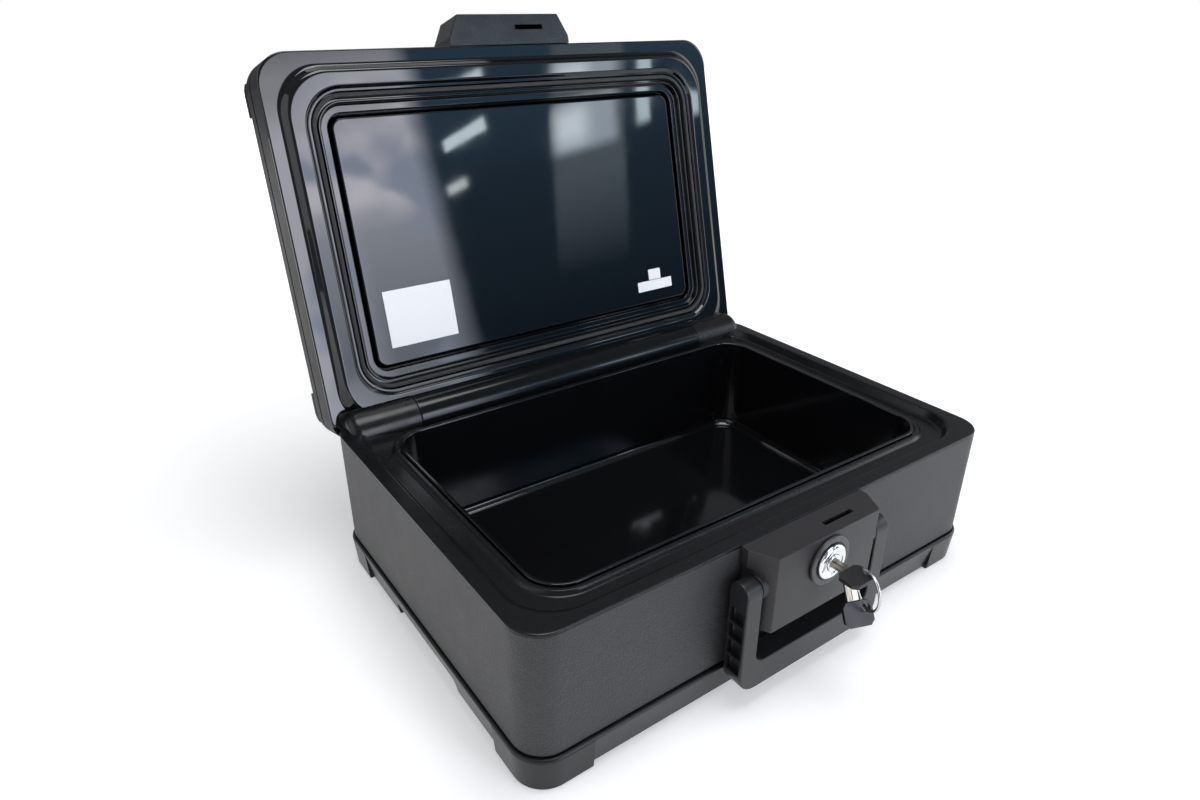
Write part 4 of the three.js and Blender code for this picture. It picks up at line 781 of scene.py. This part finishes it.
def key_head(name, y0, y1, z, chamfer=3.0):
    """A key's moulded head: a flat plate whose four corners are cut off and whose edges are rounded."""
    x = BOW_HALF_WIDTH
    corners = [(chamfer - x, y0), (x - chamfer, y0), (x, y0 + chamfer), (x, y1 - chamfer),
               (x - chamfer, y1), (chamfer - x, y1), (-x, y1 - chamfer), (-x, y0 + chamfer)]
    return slab(name, corners, [1.2] * 8, z - BOW_HALF_THICKNESS, z + BOW_HALF_THICKNESS, 0.7, along_z)


def blade(x0, x1, y0, y1, z, cuts):
    """A key blade: a flat bar whose far corners are cut off and whose edge steps in at the cuts."""
    half = BLADE_HALF_THICKNESS
    corners = [(x0, y0), (x1, y0), (x1, y1 - 2.2), (x1 - 2.2, y1), (x0 + 2.2, y1), (x0, y1 - 2.2)]
    bar = slab("blade", corners, [0.2, 0.2, 0.6, 0.6, 0.6, 0.6], z - half, z + half, 0.25, along_z)
    tools = []
    for y, depth in cuts:
        notch = [(x1 - depth, y - 0.5), (x1 + 2, y - 2.6), (x1 + 2, y + 2.6), (x1 - depth, y + 0.5)]
        tools.append(slab("notch", notch, [0.1] * 4, z - 3, z + 3, 0.05, along_z))
    groove = [(x0 + 2.6, y0 + 1.0), (x0 + 4.0, y0 + 1.0), (x0 + 4.0, y1 + 2), (x0 + 2.6, y1 + 2)]
    tools.append(slab("groove", groove, [0.1] * 4, z + half - 0.5, z + half + 2, 0.05, along_z))
    return carve(bar, tools)


def keys():
    """Two keys and their ring.

    The ring is a torus in the YZ plane: x is r sin a, and the distance from its centre is R + r cos a.
    It is turned about Z and hangs in the first key's head, and the second key hangs in the ring.
    """
    z = LOCK[2]
    bow = key_head("key_head", -BOW_FRONT, -BOW_BACK, z)
    slot = box("slot", (-1.6, 1.8, z - 3), (1.6, 9.9, z + 3), 0.3)
    turn = Matrix.Translation(RING_CENTRE * (0.001, 0.001, 0)) @ Matrix.Rotation(-RING_TURN, 4, "Z")
    slot.data.transform(turn)
    carve(bow, [slot])
    dress(bow, "key", key_plastic, ["key_bow"])
    main = blade(-4.0, 4.0, -(BOW_BACK - GAP), -168.3, z, [(-174.0, 1.6), (-178.0, 2.4)])
    main.name = "key_shaft"
    dress(main, "key", nickel, ["key_blade"])

    angle = np.arange(96) / 96 * 2 * np.pi
    around = np.arange(14) / 14 * 2 * np.pi
    radius = WIRE_RING_RADIUS + WIRE_RADIUS * np.cos(around)[None, :]
    loops = np.stack([np.broadcast_to(WIRE_RADIUS * np.sin(around)[None, :], (96, 14)),
                      radius * np.cos(angle)[:, None], radius * np.sin(angle)[:, None]], -1)
    cosine, sine = math.cos(-RING_TURN), math.sin(-RING_TURN)
    spin = np.array([[cosine, -sine, 0], [sine, cosine, 0], [0, 0, 1]])
    ring = skin("key_wire_ring", loops @ spin.T + RING_CENTRE, closed=True)
    dress(ring, "ring", steel, ["key_ring"])

    spare = key_head("spare_head", BOW_BACK - BOW_FRONT, 0, 0)
    hole = rod("hole", 3.0, -5, 5, along_z, (6.0, -5.0, 0), 40)
    carve(spare, [hole])
    spare_blade = blade(-6.0, 2.0, GAP, 16.0, 0, [(8.0, 1.6), (12.0, 2.4)])
    spare_blade.name = "spare_shaft"
    place = (Matrix.Translation(SPARE_HOLE * 0.001) @ Matrix.Rotation(-RING_TURN, 4, "Z")
             @ Matrix.Rotation(math.pi / 2 - SPARE_LEAN, 4, "X") @ Matrix.Translation((-0.006, 0.005, 0)))
    for piece, material, node, slot_name in ((spare, key_plastic, "spare_key_bow", "key_plastic"),
                                             (spare_blade, nickel, "spare_key_blade", "nickel")):
        piece.data.transform(place)
        dress(piece, "spare_key", material, [node])


# Handle

def handle():
    """A U carried from its front face to its back: the arm ends rise and fall as a half circle."""
    radii = [1.0, 14.0, 14.0, 1.0, 1.0, 8.0, 8.0, 1.0]
    half = HANDLE_HALF_DEPTH
    path = softened([(2.0, -half, 0), (0, -half, 2.0), (0, half, 2.0), (2.0, half, 0)])
    middle = np.stack([np.zeros(15), np.linspace(-5.6, 5.6, 15)], -1)
    path = np.vstack([path[: len(path) // 2], middle, path[len(path) // 2:]])
    loops = []
    for inset, along in path:
        top = PIVOT_Z + math.sqrt(max(0.0, half**2 - along**2))
        corners = [(-HANDLE_OUT, top), (-HANDLE_OUT, BAR_BOTTOM), (HANDLE_OUT, BAR_BOTTOM),
                   (HANDLE_OUT, top), (HANDLE_IN, top), (HANDLE_IN, BAR_TOP), (-HANDLE_IN, BAR_TOP),
                   (-HANDLE_IN, top)]
        flat = rounded_polygon(inset_polygon(corners, inset), radii, 9)
        loops.append(along_front(flat[:, 0], flat[:, 1], np.full(len(flat), along - PIVOT_Y)))
    bail = skin("bail_handle", np.array(loops))
    tools = []
    for side in (-1, 1):
        for i in range(4):
            z = BAR_BOTTOM + POCKET_FIRST + i * POCKET_STEP
            x = span(side, HANDLE_OUT - POCKET_DEPTH, HANDLE_OUT + 5)
            low, high = (x[0], PIVOT_Y - POCKET_HALF, z), (x[1], PIVOT_Y + POCKET_HALF, z + POCKET_HEIGHT)
            tools.append(box("pocket", low, high, 0.9))
    tools.append(rod("pin_hole", PIN_HOLE, -64.1, 64.1, along_x, PIVOT, 24))
    carve(bail, tools)
    dress(bail, "handle", handle_plastic, ["handle"])


# Lid

def hinge_cuts():
    """The room that the lid's skins leave for the drum, the knuckles and the rim beside them."""
    seam, corner = DRUM_HALF + DRUM_SEAM / 2, KNUCKLE_END + 0.8
    tools = [rod("cut", DRUM_RADIUS + GAP, -seam, seam, along_x, HINGE, 96)]
    for place in (along_x, along_left):
        tools.append(rod("cut", DRUM_RADIUS + 0.8, seam - 0.01, corner, place, HINGE, 96))
        tools.append(rod("cut", REAR_CLEARANCE, corner - 0.01, HALF_X + 5, place, HINGE, 64))
    return tools


def lid_shell():
    """The lid's outer skin: a path with a groove carried round the lid, and a pad at each corner."""
    keys = [
        lid_wall(9.0, LID_TOP - 2.5), lid_wall(2.5, LID_TOP - 10), lid_wall(2.5, 145.5),
        lid_wall(4.7, GROOVE_HIGH), lid_wall(4.7, GROOVE_LOW), lid_wall(2.5, 138.7),
        lid_wall(2.5, 119.4), lid_wall(0, 119.4, 0.3),
        lid_wall(0, GROOVE_LOW, 0.5), lid_wall(GROOVE_DEPTH, GROOVE_LOW + 0.1, 0.3),
        lid_wall(GROOVE_DEPTH, GROOVE_HIGH - 0.1, 0.3), lid_wall(0, GROOVE_HIGH, 0.5),
        lid_wall(0, LID_TOP, 9.0), lid_wall(16, LID_TOP),
    ]
    shell = moulding("lid_wall", keys)
    pads = []
    for side_x in (-1, 1):
        for side_y in (-1, 1):
            x = span(side_x, HALF_X - PAD_LENGTH, HALF_X + 1)
            y = span(side_y, HALF_Y - PAD_LENGTH, HALF_Y - 15)
            pads.append(box("pad", (x[0], y[0], LID_TOP - 2), (x[1], y[1], LID_TOP + PAD_RISE), PAD_EDGE))
    whole = pads.pop()
    carve(whole, pads, "UNION")
    limit = moulding("limit", [lid_wall(0.6, LID_TOP - 12), lid_wall(0.6, LID_TOP + PAD_RISE, 1.4),
                               lid_wall(6, LID_TOP + PAD_RISE)])
    carve(whole, [limit], "INTERSECT")
    carve(shell, [whole], "UNION")
    carve(shell, hinge_cuts() + front_holes(tab_screws, HALF_Y - 4))
    dress(opened(shell), "lid", lid_plastic, ["lid_shell"])


def lid_liner():
    """The lid's inner skin: a path carried round the mouth.

    From the middle outwards it is the panel, the moat round it, the band, the seal's channel, the
    raised step and the flange, and then it comes back behind them.
    """
    keys = [
        mouth(-26, PANEL), mouth(-17.2, PANEL, 1.0), mouth(-14.1, MOAT, 0.3), mouth(-13.5, MOAT, 0.3),
        mouth(-13.2, BAND, 0.7), mouth(-7.8, BAND, 0.7), mouth(-6.4, LID_PLANE, 0.8),
        mouth(-5.0, LID_PLANE, 0.4), mouth(-5.0, CHANNEL, 0.5),
        mouth(1.4, CHANNEL, 0.5), mouth(1.4, 114.1, 0.3), mouth(3.2, 114.1, 0.4), mouth(5.4, 111.7, 0.9),
        wall(15.5, 111.3, 1.8, 34), wall(11.3, LID_PLANE, 1.6, 36), lid_wall(0, LID_PLANE, 0.9),
        lid_wall(0, LID_PLANE + 2), wall(10.6, LID_PLANE + 2, radius=36), wall(16.7, 113.5, radius=34),
        mouth(8.5, 113.8, radius=33), mouth(3.6, 116.3), mouth(3.6, 122.3), mouth(-7.2, 122.3),
        mouth(-12.1, 124.3), mouth(-12.1, 129.8),
    ]
    liner = moulding("lid_inner_skin", keys)
    carve(liner, hinge_cuts())
    dress(opened(liner), "lid", gloss_plastic, ["lid_liner"])


def lid_gasket():
    """The seal: a closed path of four sides, its lower corners rounded, carried round the channel."""
    tip = LINER_TOP + GAP
    keys = [mouth(-3.1, tip, 1.0), mouth(0.5, tip, 1.0), mouth(0.5, 119.8), mouth(-3.1, 119.8)]
    gasket = moulding("lid_seal", keys, closed=True)
    dress(opened(gasket), "lid", seal_rubber, ["lid_gasket"])


HINGE_SCREWS = [-120.0, -40.0, 40.0, 120.0]
SCREW_RISE = 10.0
SCREW_Z = HINGE[2] + SCREW_RISE
SEAT_REACH = math.sqrt(DRUM_RADIUS**2 - SCREW_RISE**2) - 5.0
SCREW_SEAT = HINGE[1] + SEAT_REACH
SCREW_LENGTH = SEAT_REACH + DRUM_RADIUS + 4.5


def hinge_drum():
    """The drum: a cylinder with rounded ends on the hinge line, with its recesses and holes cut."""
    keys = [(0.6, -DRUM_HALF, 0), (DRUM_RADIUS, -DRUM_HALF, 1.2), (DRUM_RADIUS, DRUM_HALF, 1.2),
            (0.6, DRUM_HALF, 0)]
    drum = lathe("hinge_drum", keys, along_x, HINGE, 96)
    tools = []
    for x in HINGE_SCREWS:
        centre = (x, SCREW_SEAT, SCREW_Z)
        tools.append(rod("hole", SCREW_HOLE, -1, SCREW_LENGTH, along_front, centre, 24))
        tools.append(rod("recess", SCREW_HEAD_HOLE, -12, 0, along_front, centre, 40))
    start = DRUM_HALF - PIN_REACH - GAP
    for place in (along_x, along_left):
        tools.append(rod("hole", PIN_RADIUS + GAP, start, DRUM_HALF + 5, place, HINGE, 24))
    carve(drum, tools)
    dress(opened(drum), "lid", drum_plastic, ["hinge_barrel"])


def labels():
    """Three blank stickers: thin slabs on the panel, by their distances from the chest's rear."""
    z = PANEL - GAP
    for name, left, right, rear, front in (("large", -152.5, -92.2, 68.8, 115.8),
                                           ("square", 119.0, 133.8, 77.8, 88.0),
                                           ("strip", 104.7, 147.0, 67.4, 77.2)):
        y0, y1 = HALF_Y - front, HALF_Y - rear
        corners = [(left, y0), (right, y0), (right, y1), (left, y1)]
        sticker = slab(f"sticker_{name}", corners, [0.8] * 4, z - 0.4, z, 0.08, along_z)
        dress(opened(sticker), "lid", label_paper, [f"label_{name}"])


def screws():
    """The screws that show, under the tray and in the drum."""
    for i, (x, y) in enumerate(tray_screws):
        centre = (x, y, SCREW_SINK - GAP)
        screw = cross_screw(f"tray_fixing_{i + 1}", along_z, centre, 12.5, 25 + 37 * i, 1.0)
        dress(screw, "base", steel, [f"tray_screw_{i + 1}"])
    for i, x in enumerate(HINGE_SCREWS):
        centre = (x, SCREW_SEAT + GAP, SCREW_Z)
        screw = cross_screw(f"hinge_fixing_{i + 1}", along_front, centre, SCREW_LENGTH, 10 + 41 * i)
        dress(opened(screw), "lid", steel, [f"hinge_screw_{i + 1}"])


for make in (base_shell, base_rim, base_liner, base_tray, lock_housing, lock, keys, handle, lid_shell,
             lid_liner, lid_gasket, hinge_drum, lid_tab, labels, screws):
    make()

kept = {"base_insulation": filling, "lid_insulation": filling}
for name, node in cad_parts.items():
    if not node.hide_render:
        node.data.materials.clear()
        node.data.materials.append(kept.get(name, steel))


# Studio

def value_of(tree, operation, a, b=0.0):
    """A Math node's result; each input is a number or another node's output."""
    made = add(tree, "ShaderNodeMath", operation=operation)
    for socket, value in zip(made.inputs, (a, b)):
        if isinstance(value, (int, float)):
            socket.default_value = value
        else:
            tree.links.new(value, socket)
    return made.outputs[0]


def blend(tree, factor, a, b):
    """A mix of two colours, each three numbers or another node's output."""
    mix = add(tree, "ShaderNodeMix", data_type="RGBA")
    tree.links.new(factor, mix.inputs["Factor"])
    for socket, value in ((mix.inputs["A"], a), (mix.inputs["B"], b)):
        if isinstance(value, tuple):
            socket.default_value = value + (1,)
        else:
            tree.links.new(value, socket)
    return mix.outputs["Result"]


def shown_to_eye(tree):
    """1 for camera, glossy and transmission rays, and 0 for the light that falls on things."""
    path = add(tree, "ShaderNodeLightPath")
    bright = value_of(tree, "MAXIMUM", path.outputs["Is Glossy Ray"], path.outputs["Is Transmission Ray"])
    return value_of(tree, "MAXIMUM", path.outputs["Is Camera Ray"], bright)


def studio_floor():
    """A pale floor that keeps the object's shadow, and shows lighter to the eye far from the object."""
    reach, level = FLOOR_HALF, FOOT_BOTTOM
    corners = [(-reach, -reach, level), (reach, -reach, level), (reach, reach, level),
               (-reach, reach, level)]
    floor = piece_of("floor", corners, [(0, 1, 2, 3)])
    material = bpy.data.materials.new("studio_floor")
    material.use_nodes = True
    tree = material.node_tree
    shader = tree.nodes["Principled BSDF"]
    shader.inputs["Base Color"].default_value = FLOOR_COLOUR
    shader.inputs["Roughness"].default_value = 0.8
    shader.inputs["Emission Color"].default_value = (1, 1, 1, 1)
    away = add(tree, "ShaderNodeVectorMath", operation="LENGTH")
    tree.links.new(add(tree, "ShaderNodeTexCoord").outputs["Object"], away.inputs[0])
    lift = spread(tree, away.outputs["Value"], *FLOOR_LIFT, *LIFT_DISTANCES)
    tree.links.new(value_of(tree, "MULTIPLY", shown_to_eye(tree), lift), shader.inputs["Emission Strength"])
    floor.data.materials.append(material)


def curved_wall():
    """An upright cylinder about the chest, with a gap at the right and a flat ceiling over it."""
    turns = np.radians(np.linspace(*WALL_TURNS, 161))
    heights = np.array([FOOT_BOTTOM, WALL_TOP])
    turn, height = np.meshgrid(turns, heights)
    points = np.stack([WALL_RADIUS * np.sin(turn), -WALL_RADIUS * np.cos(turn), height], -1)
    index = np.arange(len(turns) - 1)
    quads = np.stack([index, index + 1, index + 1 + len(turns), index + len(turns)], -1).tolist()
    ceiling = list(range(len(turns), 2 * len(turns)))
    return piece_of("surround", points.reshape(-1, 3), quads + [ceiling])


def lit_patch(tree, turn, height, turns, heights, side_soft, end_soft, climb, lean):
    """A soft patch of light, which climbs in metres a degree and leans in degrees a metre.

    It is a product of four ramps, two in the turn and two in the height, each from 0 to 1.
    """
    across = value_of(tree, "SUBTRACT", turn, value_of(tree, "MULTIPLY", height, lean))
    risen = value_of(tree, "MULTIPLY", value_of(tree, "SUBTRACT", turn, turns[0]), -climb)
    level = value_of(tree, "ADD", height, risen)
    total = spread(tree, across, 0, 1, turns[0] - side_soft, turns[0])
    for side in (spread(tree, across, 1, 0, turns[1], turns[1] + side_soft),
                 spread(tree, level, 0, 1, heights[0] - end_soft, heights[0]),
                 spread(tree, level, 1, 0, heights[1], heights[1] + end_soft)):
        total = value_of(tree, "MULTIPLY", total, side)
    return total


def studio_surround():
    """A curved cloth wall that gloss sees and the camera doesn't, with pale and dark sides and slits.

    Its emission is a function of the turn from the chest's front (-Y) towards +X, in degrees, and
    of the height in metres. The white room shows through its gap at the right.
    """
    wall_cloth = curved_wall()
    material = bpy.data.materials.new("surround_cloth")
    material.use_nodes = True
    tree = material.node_tree
    tree.nodes.clear()
    where = add(tree, "ShaderNodeTexCoord").outputs["Object"]
    parts = add(tree, "ShaderNodeSeparateXYZ")
    tree.links.new(where, parts.inputs[0])
    ahead = value_of(tree, "MULTIPLY", parts.outputs["Y"], -1.0)
    turn = value_of(tree, "MULTIPLY", value_of(tree, "ARCTAN2", parts.outputs["X"], ahead), 180 / math.pi)
    height = parts.outputs["Z"]

    def ramp(source, low, high, start, end):
        return spread(tree, source, low, high, start, end)

    level = blend(tree, ramp(height, 0, 1, *PALE_HEIGHTS), PALE_LOW, PALE_HIGH)
    clouds = noise(tree, where, CLOUD_SIZE, 3.0)
    bright = blend(tree, ramp(clouds, 0, 1, 0.36, 0.56), CLOUD_DARK, CLOUD_LIGHT)
    bright = blend(tree, ramp(height, 0, 1, 0.82, 0.96), level, bright)
    bright = blend(tree, ramp(turn, 1, 0, *HAZE_TURNS), bright, HAZE)
    bright = blend(tree, ramp(noise(tree, where, SHADE_SIZE, 2.0), 0, 1, 0.5, 0.62), bright, SHADE)
    bright = blend(tree, ramp(height, 0, 1, *TOP_HEIGHTS), bright, TOP_GREY)
    dark_low = blend(tree, ramp(height, 0, 1, 0.2, 0.9), BLUE_LOW, BLUE_MIDDLE)
    dark = blend(tree, ramp(height, 0, 1, 0.9, 1.25), dark_low, BLUE_HIGH)
    seen = blend(tree, ramp(turn, 0, 1, *BLUE_TURNS), bright, dark)
    seen = blend(tree, ramp(turn, 1, 0, PANEL_LEFT - 2, PANEL_LEFT + 2), seen, LEFT_CLOTH)
    for colour, *place in SLITS:
        seen = blend(tree, lit_patch(tree, turn, height, *place), seen, colour)
    seen = blend(tree, ramp(turn, 0, 1, 55, 75), seen, REAR_CLOTH)
    seen = blend(tree, ramp(turn, 1, 0, -120, -90), seen, REAR_CLOTH)
    seen = blend(tree, ramp(height, 0, 1, 1.5, 1.8), seen, REAR_CLOTH)
    glow = add(tree, "ShaderNodeEmission")
    tree.links.new(seen, glow.inputs["Color"])
    tree.links.new(glow.outputs[0], add(tree, "ShaderNodeOutputMaterial").inputs["Surface"])
    wall_cloth.data.materials.append(material)
    wall_cloth.visible_camera = False


def softbox(name, centre, target, width, height, radiance):
    """A soft light panel of a given brightness that faces a point."""
    lamp = bpy.data.lights.new(name, "AREA")
    lamp.shape, lamp.size, lamp.size_y = "RECTANGLE", width, height
    lamp.energy = radiance * math.pi * width * height
    holder = bpy.data.objects.new(name, lamp)
    bpy.context.scene.collection.objects.link(holder)
    centre, target = np.array(centre), np.array(target)
    forward = (target - centre) / np.linalg.norm(target - centre)
    right = np.cross(forward, (0, 0, 1))
    right /= np.linalg.norm(right)
    up = np.cross(right, forward)
    turn = Matrix((right, up, -forward)).transposed()
    holder.matrix_world = Matrix.Translation(centre) @ turn.to_4x4()


def studio_world():
    """White to the eye and in gloss, and a softer white as the light that falls on things."""
    world = bpy.data.worlds.new("studio")
    bpy.context.scene.world = world
    world.use_nodes = True
    tree = world.node_tree
    strength = value_of(tree, "ADD", value_of(tree, "MULTIPLY", shown_to_eye(tree), 1.0 - FILL), FILL)
    background = tree.nodes["Background"]
    background.inputs["Color"].default_value = (1, 1, 1, 1)
    tree.links.new(strength, background.inputs["Strength"])


CAMERA_PLACE = (-0.379505, -0.44648, 0.428761)
CAMERA_ANGLES = (35.809, 24.997, 0.479)
FOCAL_PIXELS, FRAME_PIXELS = 825.971, 1200


def camera():
    """The photograph's camera, from its place, its turn, dip and roll, and its focal length in pixels."""
    yaw, pitch, roll = np.radians(CAMERA_ANGLES)
    forward = np.array([math.sin(yaw) * math.cos(pitch), math.cos(yaw) * math.cos(pitch), -math.sin(pitch)])
    level = np.array([math.cos(yaw), -math.sin(yaw), 0.0])
    up = np.cross(level, forward)
    right = level * math.cos(roll) + up * math.sin(roll)
    up = -level * math.sin(roll) + up * math.cos(roll)
    data = bpy.data.cameras.new("camera")
    data.sensor_width = 36.0
    data.lens = FOCAL_PIXELS / FRAME_PIXELS * data.sensor_width
    data.shift_x, data.shift_y = -2.889 / FRAME_PIXELS, -18.252 / FRAME_PIXELS
    data.clip_start, data.clip_end = 0.01, 50
    holder = bpy.data.objects.new("camera", data)
    bpy.context.scene.collection.objects.link(holder)
    turn = Matrix((right, up, -forward)).transposed().to_4x4()
    holder.matrix_world = Matrix.Translation(CAMERA_PLACE) @ turn
    bpy.context.scene.camera = holder


camera()
studio_floor()
studio_surround()
studio_world()
softbox("left_panel", (-1.9, 0.2, 0.95), (0, 0, 0.1), 2.2, 1.6, 1.0)
softbox("right_panel", (2.0, -0.9, 0.75), (0, 0, 0.3), 0.9, 1.4, 2.0)
softbox("top_panel", (0.1, -0.1, 1.85), (0, 0.01, 0.1), 0.95, 0.95, 6.4)
bpy.context.scene.view_settings.view_transform = "Standard"
